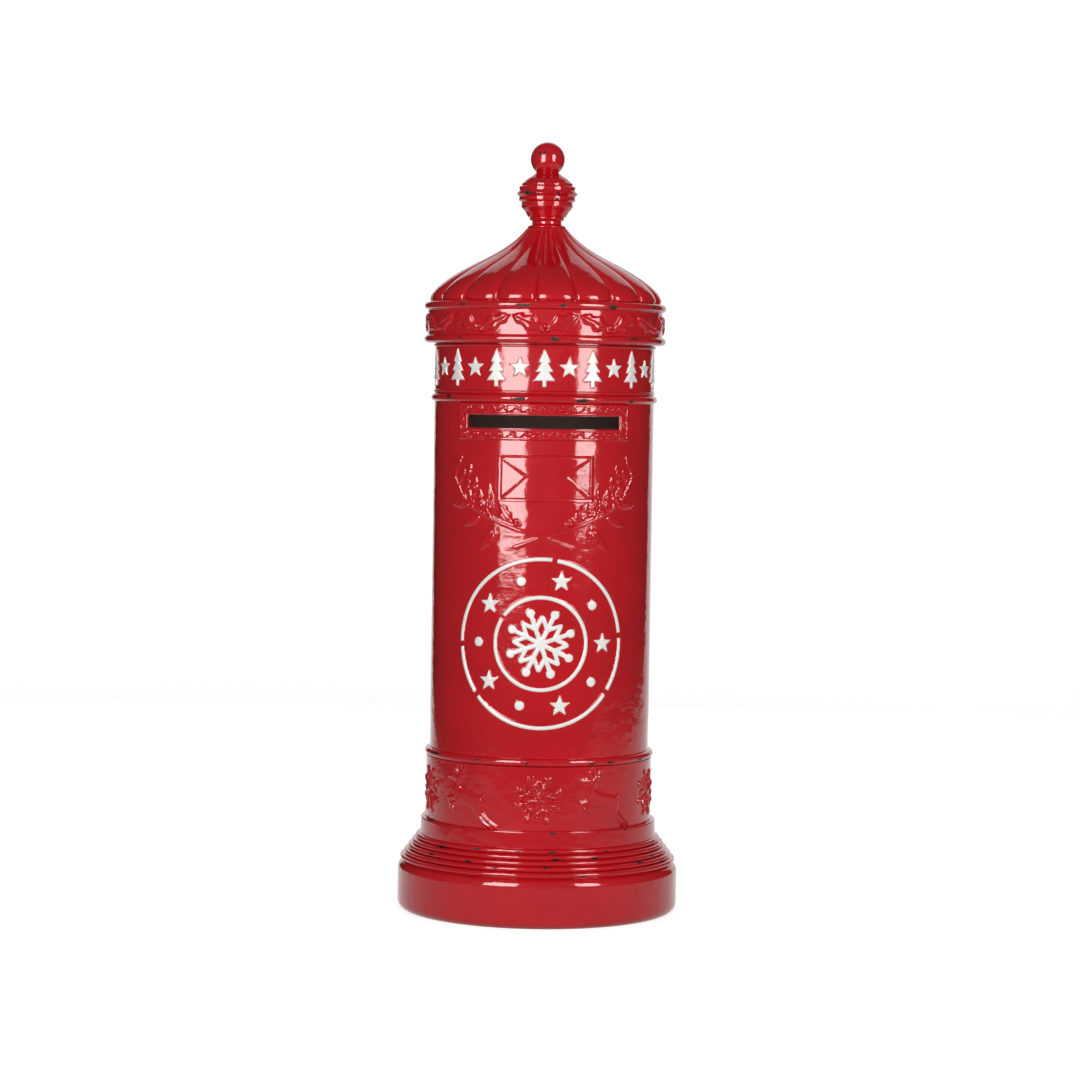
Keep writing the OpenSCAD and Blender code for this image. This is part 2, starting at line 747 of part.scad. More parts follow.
module door_knob_screw() {
    color("silver") {
        knob_screw_shank(0);
        rotate([0, 0, knob_angle]) translate([0, knob_boss_r - 2.6, knob_z]) rotate([-90, 0, 0])
            cylinder(r = 4, h = 2.6);
    }
}

module catch_housing() {
    color("white") difference() {
        union() {
            translate([catch_x - catch_w / 2, catch_y, head_z - catch_h])
                cube([catch_w, catch_face_y - catch_y, catch_h]);
            translate([catch_x - catch_w / 2 - catch_ear_w, catch_y + 2, head_z - catch_ear_t])
                cube([catch_w + 2 * catch_ear_w, catch_face_y - catch_y - 3, catch_ear_t]);
        }
        translate([catch_x - magnet_size[0] / 2 - 0.05, catch_face_y + 0.05 - magnet_size[1],
            magnet_z - magnet_size[2] / 2 - 0.05])
            cube([magnet_size[0] + 0.1, magnet_size[1] + 5, magnet_size[2] + 0.1]);
        for (side = [-1, 1]) catch_screw(side, screw_clear);
    }
}

module catch_magnet() {
    color("gray") translate([catch_x - magnet_size[0] / 2, catch_face_y + 0.05 - magnet_size[1],
        magnet_z - magnet_size[2] / 2]) cube(magnet_size);
}

// Shank of a screw through one of the catch's ears, up into the head of the doorway
module catch_screw(side, clear) {
    translate([catch_x + side * (catch_w + catch_ear_w) / 2, catch_screw_y, head_z - catch_ear_t - 0.5])
        cylinder(r = catch_screw_r + clear, h = catch_ear_t + 6);
}

module strike_plate() {
    color("silver") difference() {
        translate([catch_x - strike_size[0] / 2, rim_y, strike_z - strike_size[1] / 2])
            cube([strike_size[0], strike_t, strike_size[1]]);
        strike_screw_shape(screw_clear);
    }
}

module strike_screw_shape(clear) {
    translate([catch_x, rim_y, strike_z]) rotate([-90, 0, 0])
        countersunk(1.5 + clear, 9 + clear, 2.8 + clear);
}

// Shank of one screw of the floor panel, down into the ledge
module panel_screw(angle, clear) {
    rotate([0, 0, angle]) translate([panel_screw_r, 0, ledge_z - 7])
        cylinder(r = 1.75 + clear, h = 7 + panel_t + 0.5);
}

module floor_panel() {
    color("tan") translate([0, 0, ledge_z]) difference() {
        cylinder(r = inner_r - 2, h = panel_t);
        for (a = panel_screw_angles) translate([0, 0, -ledge_z]) panel_screw(a, screw_clear);
    }
}

module hinge_frame_screws() {
    color("silver") for (z = [upper_hinge_z, lower_hinge_z]) hinge_screw_pair(z, 1, 0);
}

module hinge_door_screws() {
    color("silver") for (z = [upper_hinge_z, lower_hinge_z]) hinge_screw_pair(z, -1, 0);
}

module catch_screws() {
    color("silver") for (side = [-1, 1]) {
        catch_screw(side, 0);
        translate([catch_x + side * (catch_w + catch_ear_w) / 2, catch_screw_y, head_z - catch_ear_t - 2.2])
            cylinder(r = 2.8, h = 2.2);
    }
}

module strike_screw() {
    color("silver") strike_screw_shape(0);
}

module floor_screws() {
    color("silver") for (a = panel_screw_angles) {
        panel_screw(a, 0);
        rotate([0, 0, a]) translate([panel_screw_r, 0, ledge_z + panel_t]) cylinder(r = 3.5, h = 2.2);
    }
}

body_casting();
lid_casting();
finial();
finial_stud();
finial_washer();
finial_nut();
rear_door();
upper_hinge_frame_leaf();
upper_hinge_door_leaf();
upper_hinge_pin();
lower_hinge_frame_leaf();
lower_hinge_door_leaf();
lower_hinge_pin();
hinge_frame_screws();
hinge_door_screws();
door_knob();
door_knob_screw();
catch_housing();
catch_magnet();
catch_screws();
strike_plate();
strike_screw();
floor_panel();
floor_screws();
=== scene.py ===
import json
import math

import bpy
import numpy as np
from bpy.props import FloatProperty, FloatVectorProperty, IntProperty, PointerProperty
from mathutils import Matrix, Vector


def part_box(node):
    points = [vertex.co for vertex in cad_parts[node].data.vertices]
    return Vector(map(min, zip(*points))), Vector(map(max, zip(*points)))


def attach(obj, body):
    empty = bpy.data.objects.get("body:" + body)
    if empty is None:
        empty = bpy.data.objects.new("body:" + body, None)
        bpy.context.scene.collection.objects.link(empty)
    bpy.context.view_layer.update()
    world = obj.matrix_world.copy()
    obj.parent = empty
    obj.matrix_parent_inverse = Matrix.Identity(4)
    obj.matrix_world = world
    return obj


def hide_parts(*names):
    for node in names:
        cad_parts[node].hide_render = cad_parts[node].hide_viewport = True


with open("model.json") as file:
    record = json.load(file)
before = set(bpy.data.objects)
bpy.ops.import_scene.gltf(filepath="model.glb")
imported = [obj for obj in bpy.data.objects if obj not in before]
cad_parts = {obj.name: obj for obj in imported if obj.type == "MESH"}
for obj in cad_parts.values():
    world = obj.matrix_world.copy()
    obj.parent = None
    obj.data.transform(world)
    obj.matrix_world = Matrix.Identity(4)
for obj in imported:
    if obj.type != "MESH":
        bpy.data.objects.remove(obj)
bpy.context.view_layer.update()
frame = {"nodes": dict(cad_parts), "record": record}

bl_info = {
    "name": "Christmas letter box",
    "version": (1, 0, 0),
    "blender": (4, 5, 0),
    "location": "3D View > Sidebar > Letter box",
    "description": "Dresses the packed letter box: enamelled castings, reliefs, door and stage",
    "category": "Object",
}

MM = 0.001
GLOSS = 0.3  # specular level of the enamel
FAR = 50.0  # millimetres at which a chip or a white part no longer shows


# Sizes and colours

def linear(hex_colour):
    """Linear RGBA of an sRGB hex colour."""
    parts = [int(hex_colour[i:i + 2], 16) / 255 for i in (1, 3, 5)]
    return tuple(c / 12.92 if c <= 0.04045 else ((c + 0.055) / 1.055) ** 2.4 for c in parts) + (1.0,)


def colour(name, description, hex_colour):
    return FloatVectorProperty(name=name, description=description, subtype="COLOR", size=4,
                               min=0, max=1, default=linear(hex_colour))


def length(name, description, default, low, high):
    return FloatProperty(name=name, description=description, default=default, min=low, max=high,
                         subtype="DISTANCE", unit="LENGTH")


class LetterBoxFinish(bpy.types.PropertyGroup):
    """Colours of the finishes."""

    enamel: colour("Enamel", "Glossy red enamel over the castings", "#B60C18")
    undercoat: colour("Undercoat", "Black undercoat that the chips lay bare", "#1A1615")
    white: colour("White paint", "Brushed white on the raised motifs and rings", "#E6E4E0")
    hinge: colour("Hinge plating", "Brass-plated hinge leaves", "#B8914F")
    zinc: colour("Zinc plating", "Zinc-plated screws, stud and nut", "#A9ABAD")
    nylon: colour("Nylon", "Moulded body of the catch", "#CFCBC0")
    board: colour("Board", "Birch plywood under the letters", "#B4905F")
    inside: colour("Inside", "Bare grey-brown resin of the hollow", "#9A7C72")


class LetterBoxSizes(bpy.types.PropertyGroup):
    """Sizes of the carving. The castings' own sizes come from the frame."""

    relief: length("Relief", "Height of the carved reliefs over the surface", 0.0024, 0.001, 0.004)
    grain: length("Grid", "Spacing of the carved surfaces' grid", 0.00115, 0.0008, 0.003)
    lobes: IntProperty(name="Lobes", description="Lobes round the dome", default=18, min=6, max=36)
    lobe_depth: length("Lobe depth", "Depth of the creases at the dome's rim", 0.007, 0.002, 0.01)


# Places read from the frame, in millimetres

def node_box(node):
    """Low and high corner of a node's box."""
    return [np.array(corner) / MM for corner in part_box(node)]


DOOR_LOW, DOOR_HIGH = node_box("rear_door")
BASE_R, _, RIM_Z = node_box("body_casting")[1]
CROWN_Z = node_box("finial")[0][2]
PANEL_Z = node_box("floor_panel")[0][2]

BASE_H = 65.0
BASE_ROUND = 12.0
RIB_COUNT = 5
RIB_R = (180.0, 160.0)
BAND_R = (154.2, 153.4)
BAND_ROUND = 2.0
BAND_Z = 99.0
FRIEZE_Z = 121.0
FOOT_BEAD_Z = 202.0
SHAFT_Z = 212.5
NECK_BEAD_Z = 662.5
LETTER_Z = 678.0
BEAD_H = 10.5
FOOT_BEAD_R = 149.5
NECK_BEAD_R = 147.4
SHAFT_R = 143.0
FRIEZE_R = 147.5
WALL = 7.5
INNER_R = SHAFT_R - WALL
FRIEZE_INNER_R = 139.5
LEDGE_R = 118.0
PLINTH_INNER_R = BASE_R - 12
FOOT_RIM_R = PLINTH_INNER_R - 10
SLOT_Z = NECK_BEAD_Z - 24
SLOT_HALF_H = 8.25
SLOT_HALF_W = 95.0
FRAME_HALF_H = 23.5
FRAME_HALF_ANGLE = 48.4
LIP_HALF_H = 11.5
LIP_HALF_ANGLE = 43.2
ENVELOPE_Z = 567.2
ENVELOPE_SIDE = 3.5
ENVELOPE_HALF_H = 29.6
ENVELOPE_HALF_ANGLE = 24.8
ROUNDEL_Z = 358.5
ROUNDEL_OUTER_R = 109.5
ROUNDEL_INNER_R = 61.0
RING_W = 4.7
DOOR_HALF_W = 77.0
DOOR_GAP = 2.0
SILL_Z = DOOR_LOW[2] - DOOR_GAP
HEAD_Z = DOOR_HIGH[2] + DOOR_GAP
JAMB_T = 7.0
JAMB_Y = 99.0
STOP_W = 7.0
STOP_Y = (105.0, 109.5)
LID_BEAD_H = 10.7
LID_BEAD_R = 157.6
LID_FRIEZE_Z = RIM_Z + LID_BEAD_H
LID_FRIEZE_H = 31.0
LID_FRIEZE_R = 152.8
UPPER_BEAD_Z = LID_FRIEZE_Z + LID_FRIEZE_H + 1
DOME_Z = UPPER_BEAD_Z + LID_BEAD_H + 3
DOME_R = 151.0
LID_INNER_R = 144.0
SPIGOT_INNER_R = 127.0
STUD_HOLE_R = 10.0
MOTIF_PITCH = 12.6
MOTIF_COUNT = 13
STAR_REACH = 14.0
TREE_SIZE = (27, 48)
HOLLY_COUNT = 11

# Chips in the enamel: (degrees from the front, height, half width, half height)
CHIPS = [
    (-28, 984.4, 2.4, 1.9), (-11, 985.8, 1.9, 2.2), (-36, 986.5, 1.3, 1.1), (-32, 933.2, 7.5, 1.5),
    (-42, 933.2, 3.6, 3.2), (21, 933.2, 3.8, 1.9), (20, 925.2, 2.2, 1.5), (140, 933.2, 5, 1.8),
    (-120, 925.2, 4, 1.6),
    (62, 786, 5.5, 2), (-41.8, 786.5, 8.4, 1.4), (-10.0, 785.5, 10.3, 1.6), (8.2, 785.5, 4.5, 1.9),
    (33, 784.5, 6.1, 3.2),
    (-43.6, 745, 1.7, 1.9), (4.5, 743.5, 5.7, 2.5), (46.6, 745.5, 13.2, 1.0), (69.7, 743, 5.8, 2.5),
    (-56.3, 669.5, 4.5, 2.5), (-52.8, 667, 2.1, 1.3), (-12.4, 667.5, 9, 2.1), (19.3, 666.5, 9.5, 2.1),
    (49.2, 666, 6, 1.5),
    (-64.4, 209.5, 13, 1.6), (-31.9, 208.5, 4.4, 1.2), (-6, 206.5, 1.7, 1.9), (27, 206, 4.3, 1.3),
    (37.6, 206.5, 4.9, 1.4), (61.1, 206, 7, 1.6),
    (-67.1, 121, 7.8, 1.1), (-38.4, 120, 1.6, 1.0), (-33.7, 120, 1.5, 1.0), (7.5, 118.5, 6.4, 1.2),
    (39.9, 118.5, 3.4, 1.0), (46.8, 119, 2.8, 1.3),
    (-50, 92.8, 7.7, 1.2), (-52.9, 83, 6.2, 1.5), (-28.6, 96, 5.7, 1.3), (-30.8, 80.6, 5.9, 1.5),
    (-17.4, 76.5, 4, 1.0), (-9, 96, 3.2, 0.9), (7.4, 95.5, 7.1, 1.1), (8.3, 87, 6.4, 1.5),
    (3.7, 78.1, 3.2, 1.0), (5.9, 68.7, 2.6, 1.0), (19, 67.9, 4.1, 1.0), (26.4, 87.5, 5, 1.5),
    (33.2, 94.5, 4.6, 1.1), (29.3, 67.6, 1.5, 1.0), (32.8, 68, 1.5, 1.0), (49.2, 77.7, 7.9, 1.0),
    (60.6, 83.3, 8, 1.1), (66.4, 73.6, 6.6, 1.3), (-29.5, 62.8, 1.7, 1.0),
    # The sides and the back wear in the same way
    (95, 786, 7, 1.5), (128, 785, 4, 2), (171, 786, 9, 1.3), (-118, 785, 6, 1.8), (-86, 786, 5, 1.2),
    (104, 743, 6, 2), (150, 744, 10, 1.2), (-145, 743.5, 5, 2.2), (-99, 744, 8, 1.3),
    (88, 667, 8, 1.6), (139, 667, 4, 1.9), (-166, 667, 9, 1.5), (-108, 667.5, 5, 2),
    (97, 207, 7, 1.4), (158, 207, 5, 1.6), (-131, 207, 9, 1.3), (-96, 207, 3, 1.8),
    (91, 93, 6, 1.2), (112, 80, 7, 1.4), (147, 87, 5, 1.2), (176, 96, 8, 1.2), (-152, 74, 6, 1.3),
    (-121, 93, 7, 1.3), (-88, 80, 5, 1.2), (121, 119.5, 6, 1.1), (-139, 119.5, 4, 1.2),
]


# Surfaces: a closed section carried round the axis

def smooth_step(x):
    x = np.clip(x, 0, 1)
    return x * x * (3 - 2 * x)


def turned_from(degrees, place):
    """Angles measured from a place, from -180 to 180."""
    return (degrees - place + 180) % 360 - 180


def round_angles(step):
    """Equal angles once round, each about one step wide."""
    return np.arange(-180, 180, 360 / round(360 / step))


def grain_step(sizes, radius):
    """Degrees that one grid step of the carved surfaces takes at a radius."""
    return math.degrees(sizes.grain / MM / radius)


def half_angle(half_width, radius):
    """Degrees from the middle of an opening to its edge."""
    return math.degrees(math.asin(half_width / radius))


def arc(centre, radius, start, end, steps):
    """Points of an arc in the (radius, height) plane, angles in degrees from the outward radius."""
    t = np.radians(np.linspace(start, end, steps + 1))
    return np.stack([centre[0] + radius * np.cos(t), centre[1] + radius * np.sin(t)], axis=1)


def bead_path(z, height, reach, steps=10):
    """Half circle that stands out to the radius reach, between z and z + height."""
    r = height / 2
    return arc((reach - r, z + r), r, -90, 90, steps)


def line_path(start, end, spacing):
    """Evenly spaced points from start to end, both included."""
    count = max(1, int(math.ceil(math.dist(start, end) / spacing)))
    t = np.linspace(0, 1, count + 1)[:, None]
    return np.array(start) * (1 - t) + np.array(end) * t


def tidy_path(parts):
    """Joins stretches of a section into one, and drops points that repeat."""
    path = np.concatenate([np.atleast_2d(np.array(p, float)) for p in parts])
    keep = np.ones(len(path), bool)
    keep[1:] = np.hypot(*(path[1:] - path[:-1]).T) > 1e-4
    return path[keep]


def column_angles(dense_to, dense_step, coarse_step, marks=()):
    """Degrees from the front, once round: fine steps to dense_to on both sides, coarse ones
    behind. Each mark is hit exactly."""
    front = np.arange(-dense_to, dense_to + dense_step / 2, dense_step)
    back = np.arange(dense_to + coarse_step, 360 - dense_to - coarse_step / 2, coarse_step)
    angles = np.sort(np.concatenate([front, np.where(back > 180, back - 360, back)]))
    for mark in marks:
        angles[np.argmin(np.abs(angles - mark))] = mark
    return np.sort(angles)


def link_object(name, data):
    obj = bpy.data.objects.new(name, data)
    bpy.context.scene.collection.objects.link(obj)
    return obj


def blank_fields(shape, outside):
    """Attributes of a surface with no chip and no white part; outside is 1 where it is enamelled."""
    return {"chip": np.full(shape, FAR), "white": np.full(shape, FAR), "outside": np.full(shape, outside)}


def make_object(name, vertices, quads, attributes=None, sharp=38):
    """A mesh object from arrays, smooth but for edges sharper than the given degrees."""
    mesh = bpy.data.meshes.new(name)
    mesh.vertices.add(len(vertices))
    mesh.vertices.foreach_set("co", (np.asarray(vertices) * MM).astype(np.float32).ravel())
    quads = np.asarray(quads, np.int32)
    triangle = quads[:, 2] == quads[:, 3]
    corners = np.where(triangle, 3, 4)
    starts = np.concatenate([[0], np.cumsum(corners)[:-1]])
    used = np.ones(quads.shape, bool)
    used[triangle, 3] = False
    mesh.loops.add(int(corners.sum()))
    mesh.loops.foreach_set("vertex_index", quads[used])
    mesh.polygons.add(len(quads))
    mesh.polygons.foreach_set("loop_start", starts.astype(np.int32))
    mesh.update(calc_edges=True)
    mesh.polygons.foreach_set("use_smooth", np.ones(len(quads), bool))
    mesh.set_sharp_from_angle(angle=math.radians(sharp))
    for key, values in (attributes or {}).items():
        layer = mesh.attributes.new(key, "FLOAT", "POINT")
        layer.data.foreach_set("value", np.asarray(values, np.float32).ravel())
    mesh.validate()
    return link_object(name, mesh)


def turned_shell(name, outer, inner, angles, carving=None, window=None, inner_angles=None):
    """A hollow turned casting. A point of the section (r, z) at an angle a from the front is
    (r sin a, -r cos a, z). The section runs up the outer path and down the inner one, and
    closes on itself, as the angles do. carving(degrees, z) gives a dictionary of arrays, and its
    'height' is added to the outer radius. A window (angle, angle, z, z) leaves a hole through
    both walls, joined by a reveal; both paths then have the same heights inside it."""
    angles = np.asarray(angles, float)
    path = np.concatenate([outer, np.array(inner, float)])
    rows, columns = len(path), len(angles)
    degrees = np.broadcast_to(angles, (rows, columns)).copy()
    radius = np.broadcast_to(path[:, :1], (rows, columns)).copy()
    height = np.broadcast_to(path[:, 1:], (rows, columns)).copy()
    fields = blank_fields((rows, columns), 0.0)
    count = len(outer)
    fields["outside"][:count] = 1.0
    fields["chip"][:count] = chip_distance(degrees[:count], height[:count], radius[:count])
    if carving:
        carved = carving(degrees[:count], height[:count])
        radius[:count] += carved.pop("height")
        for key, values in carved.items():
            fields[key][:count] = values
    if inner_angles is not None:
        degrees[count:] = inner_angles
    a = np.radians(degrees)
    vertices = np.stack([radius * np.sin(a), -radius * np.cos(a), height], axis=2).reshape(-1, 3)
    index = np.arange(rows * columns).reshape(rows, columns)
    up, across = np.roll(index, -1, axis=0), np.roll(index, -1, axis=1)
    both = np.roll(up, -1, axis=1)
    quads = np.stack([index, across, both, up], axis=2)
    if window is None:
        kept = quads.reshape(-1, 4)
    else:
        left, right, low, high = window
        middle_a = (angles + np.roll(angles, -1)) / 2
        middle_a[-1] = 180
        if left < right:
            open_columns = (middle_a > left) & (middle_a < right)
        else:
            open_columns = (middle_a > left) | (middle_a < right)
        middle_z = (path[:, 1] + np.roll(path[:, 1], -1)) / 2
        open_rows = (middle_z > low) & (middle_z < high)
        opened = open_rows[:, None] & open_columns[None, :]
        kept = np.concatenate([quads[~opened], reveal(index, path, count, open_rows, open_columns)])
    return make_object(name, vertices, kept, fields)


def reveal(index, path, count, open_rows, open_columns):
    """Quads that join the outer and the inner edges of a window, all round it."""
    rows_out = np.flatnonzero(open_rows[:count])
    rows_in = np.flatnonzero(open_rows[count:])[::-1] + count
    columns = np.flatnonzero(open_columns)
    total = index.shape[1]
    gap = np.flatnonzero(np.diff(columns) > 1)
    if len(gap):
        columns = np.concatenate([columns[gap[0] + 1:], columns[:gap[0] + 1]])
    first, last = columns[0], (columns[-1] + 1) % total
    out_low, out_high = index[rows_out[0]], index[rows_out[-1] + 1]
    in_low, in_high = index[rows_in[0] + 1], index[rows_in[-1]]
    following = (columns + 1) % total
    sill = np.stack([out_low[columns], in_low[columns], in_low[following], out_low[following]], axis=1)
    head = np.stack([out_high[columns], out_high[following], in_high[following], in_high[columns]],
                    axis=1)
    sides = []
    for out_row, in_row in zip(rows_out, rows_in, strict=True):
        a, b = index[out_row], index[out_row + 1]
        c, d = index[in_row], index[in_row + 1]
        sides.append([a[first], b[first], c[first], d[first]])
        sides.append([a[last], d[last], c[last], b[last]])
    return np.concatenate([sill[:, ::-1], head[:, ::-1], np.array(sides)])


# Carving: signed distances in millimetres, negative inside

def capsule(u, v, start, end, r0, r1):
    """Distance to a rod from start to end whose radius goes from r0 to r1."""
    ax, ay = start
    bx, by = end[0] - ax, end[1] - ay
    t = np.clip(((u - ax) * bx + (v - ay) * by) / (bx * bx + by * by + 1e-9), 0, 1)
    return np.hypot(u - ax - t * bx, v - ay - t * by) - (r0 + (r1 - r0) * t)


def merge(a, b, soft=0.0):
    """Union of two distances; soft is the radius of the fillet between them."""
    if soft <= 0:
        return np.minimum(a, b)
    h = np.clip(0.5 + 0.5 * (b - a) / soft, 0, 1)
    return b * (1 - h) + a * h - soft * h * (1 - h)


def carved(distance, top, edge):
    """Height of a relief: a quarter-round edge of the given width, level inside it."""
    t = np.clip(-distance / edge, 0, 1)
    return top * np.sqrt(1 - (1 - t) ** 2)


def polygon_distance(u, v, points):
    """Signed distance to a closed polygon."""
    points = np.asarray(points, float)
    distance = np.full(u.shape, 1e9)
    inside = np.zeros(u.shape, bool)
    for (x0, y0), (x1, y1) in zip(points, np.roll(points, -1, axis=0), strict=True):
        distance = np.minimum(distance, capsule(u, v, (x0, y0), (x1, y1), 0, 0))
        crosses = (y0 > v) != (y1 > v)
        slope = (x1 - x0) / ((y1 - y0) if y1 != y0 else 1e-9)
        inside ^= crosses & (u < x0 + (v - y0) * slope)
    return np.where(inside, -distance, distance)


def local(u, v, place, turn):
    """Coordinates about a place, turned so that +x points at the angle turn."""
    c, s = math.cos(math.radians(turn)), math.sin(math.radians(turn))
    du, dv = u - place[0], v - place[1]
    return du * c + dv * s, -du * s + dv * c


def snowflake(u, v, reach, arm):
    """Eight arms with a bead on each tip and a pair of twigs on each arm."""
    distance = np.full(u.shape, FAR)
    tip = 0.118 * reach
    for i in range(8):
        x, y = local(u, v, (0, 0), 19 + 45 * i)
        distance = merge(distance, capsule(x, y, (0, 0), (reach - tip, 0), arm / 2, arm / 2))
        distance = merge(distance, np.hypot(x - reach + tip, y) - tip)
        for side in (-1, 1):
            twig = (0.42 * reach + 0.26 * reach, side * 0.27 * reach)
            distance = merge(distance, capsule(x, y, (0.42 * reach, 0), twig, arm / 2, arm * 0.42))
    return distance


def reindeer(u, v):
    """Leaping reindeer, facing left: tapered rods merged into one another."""
    body = capsule(u, v, (-19, -1), (11, -7), 9.2, 8.4)
    # Neck, head, muzzle and haunch, each with the fillet that joins it on
    masses = [((-22, 4), (-20, 18), 6.4, 4.2, 5), ((-19, 21), (-30, 22.3), 4.3, 2.9, 4),
              ((-29, 22), (-38, 22), 2.8, 1.9, 2), ((11, -9), (18, -22), 7.2, 3.0, 4)]
    # Hind legs, forelegs, tail, ear and antlers
    limbs = [
        ((18, -22), (29, -32), 2.8, 1.7), ((29, -32), (39, -38), 1.8, 1.5),
        ((8, -13), (13, -25), 5, 2.6), ((13, -25), (22, -34), 2.4, 1.5),
        ((22, -34), (30, -38.5), 1.5, 1.4),
        ((-24, -4), (-38, -6), 4.2, 2), ((-38, -6), (-33, -18), 2, 1.5),
        ((-20, -8), (-30, -13), 4, 1.9), ((-30, -13), (-27, -22), 1.8, 1.4),
        ((14, -2), (21, 2.5), 2.6, 1.1), ((-15, 24), (-9, 27), 1.9, 0.8),
        ((-18, 25), (-23, 32), 1.3, 1.0), ((-23, 32), (-22, 38), 1.0, 0.8),
        ((-21.5, 30), (-27, 34.5), 0.9, 0.7), ((-17, 25), (-12, 31), 1.2, 1.0),
        ((-12, 31), (-8, 38), 1.0, 0.8), ((-13, 30), (-15, 36.5), 0.9, 0.7),
    ]
    for start, end, r0, r1, soft in masses + [(*limb, 1.2) for limb in limbs]:
        body = merge(body, capsule(u, v, start, end, r0, r1), soft)
    return body


def leaf_relief(x, y, size, width, top, prickles=3):
    """Height of a leaf along +x: a lens whose edge is scalloped between the prickles, domed to
    each side of a sunk midrib."""
    t = np.clip(x / size, 0, 1)
    lens = width / 2 * np.sin(np.pi * t ** 0.85) ** 0.75
    scallop = 0.66 + 0.34 * np.abs(np.cos(np.pi * prickles * t)) ** 2.2
    edge = (np.abs(y) - lens * scallop) * 0.8
    distance = np.maximum(edge, np.maximum(-x, x - size))
    midrib = 0.42 * np.exp(-(y / 0.9) ** 2) * (x > 0.06 * size)
    return carved(distance, top, width * 0.28) * (1 - midrib)


def berry_relief(u, v, places, radius, top):
    """Height of the berries: a half ball at each place."""
    reach = np.min([np.hypot(u - x, v - y) for x, y in places], axis=0)
    return top * np.sqrt(np.clip(1 - (reach / radius) ** 2, 0, 1))


def star(u, v, reach):
    """Star of five points."""
    turns = np.pi * np.arange(10) / 5
    radii = np.where(np.arange(10) % 2 == 0, reach, 0.42 * reach)
    return polygon_distance(u, v, np.stack([radii * np.sin(turns), radii * np.cos(turns)], axis=1))


def fir_tree(u, v, width, height):
    """Three tiers of boughs on a short trunk."""
    distance = np.maximum(np.abs(u) - width * 0.09, np.abs(v + height * 0.4) - height * 0.1)
    for i in range(3):
        foot, half = -0.34 + 0.24 * i, 0.5 - 0.11 * i
        tier = [(-half * width, foot * height), (half * width, foot * height),
                (0, (foot + 0.36) * height)]
        distance = merge(distance, polygon_distance(u, v, tier))
    return distance


def scroll(x, y):
    """Running wave: round troughs that meet in crests, and a curl under each crest."""
    period = 17.5
    x = np.mod(x, period)
    t = np.linspace(0, 1, 13)
    trough = np.stack([period * t, 2.8 - 6.2 * np.sin(np.pi * t) ** 0.8], axis=1)
    turn = np.radians(np.linspace(200, -110, 10))
    curl = np.stack([3.4 + 2.5 * np.cos(turn), 1.0 + 2.3 * np.sin(turn)], axis=1)
    distance = np.full(x.shape, FAR)
    for line, radius in ((trough, 0.8), (curl, 0.75)):
        for shift in (-period, 0, period):
            for a, b in zip(line[:-1], line[1:], strict=True):
                rod = capsule(x, y, (a[0] + shift, a[1]), (b[0] + shift, b[1]), radius, radius)
                distance = np.minimum(distance, rod)
    return distance


def value_noise(u, v, scale, seed):
    """Smooth noise from -1 to 1 with cells of the given size, from hashed lattice corners."""
    x, y = u / scale + 100, v / scale + 100
    xi, yi = np.floor(x), np.floor(y)
    fx, fy = smooth_step(x - xi), smooth_step(y - yi)

    def corner(dx, dy):
        h = np.sin((xi + dx) * 127.1 + (yi + dy) * 311.7 + seed * 74.7) * 43758.5453
        return 2 * (h - np.floor(h)) - 1

    low = corner(0, 0) * (1 - fx) + corner(1, 0) * fx
    high = corner(0, 1) * (1 - fx) + corner(1, 1) * fx
    return low * (1 - fy) + high * fy


def chip_distance(degrees, z, radius):
    """Distance to the nearest chip: ellipses whose rims are broken up by noise."""
    distance = np.full(degrees.shape, FAR)
    for at, height, half_w, half_h in CHIPS:
        u, v = np.radians(turned_from(degrees, at)) * radius, z - height
        near = (np.abs(u) < half_w + 12) & (np.abs(v) < half_h + 8)
        if not near.any():
            continue
        un, vn = u[near], v[near]
        reach = np.hypot(un / half_w, vn / half_h)
        reach += 0.30 * value_noise(un, vn * 1.6, 2.6, at) + 0.22 * value_noise(un, vn, 1.2, at + 5)
        distance[near] = np.minimum(distance[near], (reach - 1) * half_h)
    return distance


# Carving of each tier

def plinth_carving(sizes):
    """Snowflakes and leaping reindeer in turn, five of each."""
    top = sizes.relief / MM

    def field(degrees, z):
        height = np.zeros(degrees.shape)
        for i in range(10):
            u = np.radians(turned_from(degrees, 36 * i)) * FRIEZE_R
            v = z - (FRIEZE_Z + FOOT_BEAD_Z) / 2
            near = np.abs(u) < 60
            if i % 2 == 0:
                motif = carved(snowflake(u[near], v[near] + 1, 32, 2.7), top * 0.85, 1.3)
            else:
                motif = carved(reindeer(u[near], v[near]), top * 0.8, 3)
            height[near] = np.maximum(height[near], motif)
        return {"height": height}

    return field


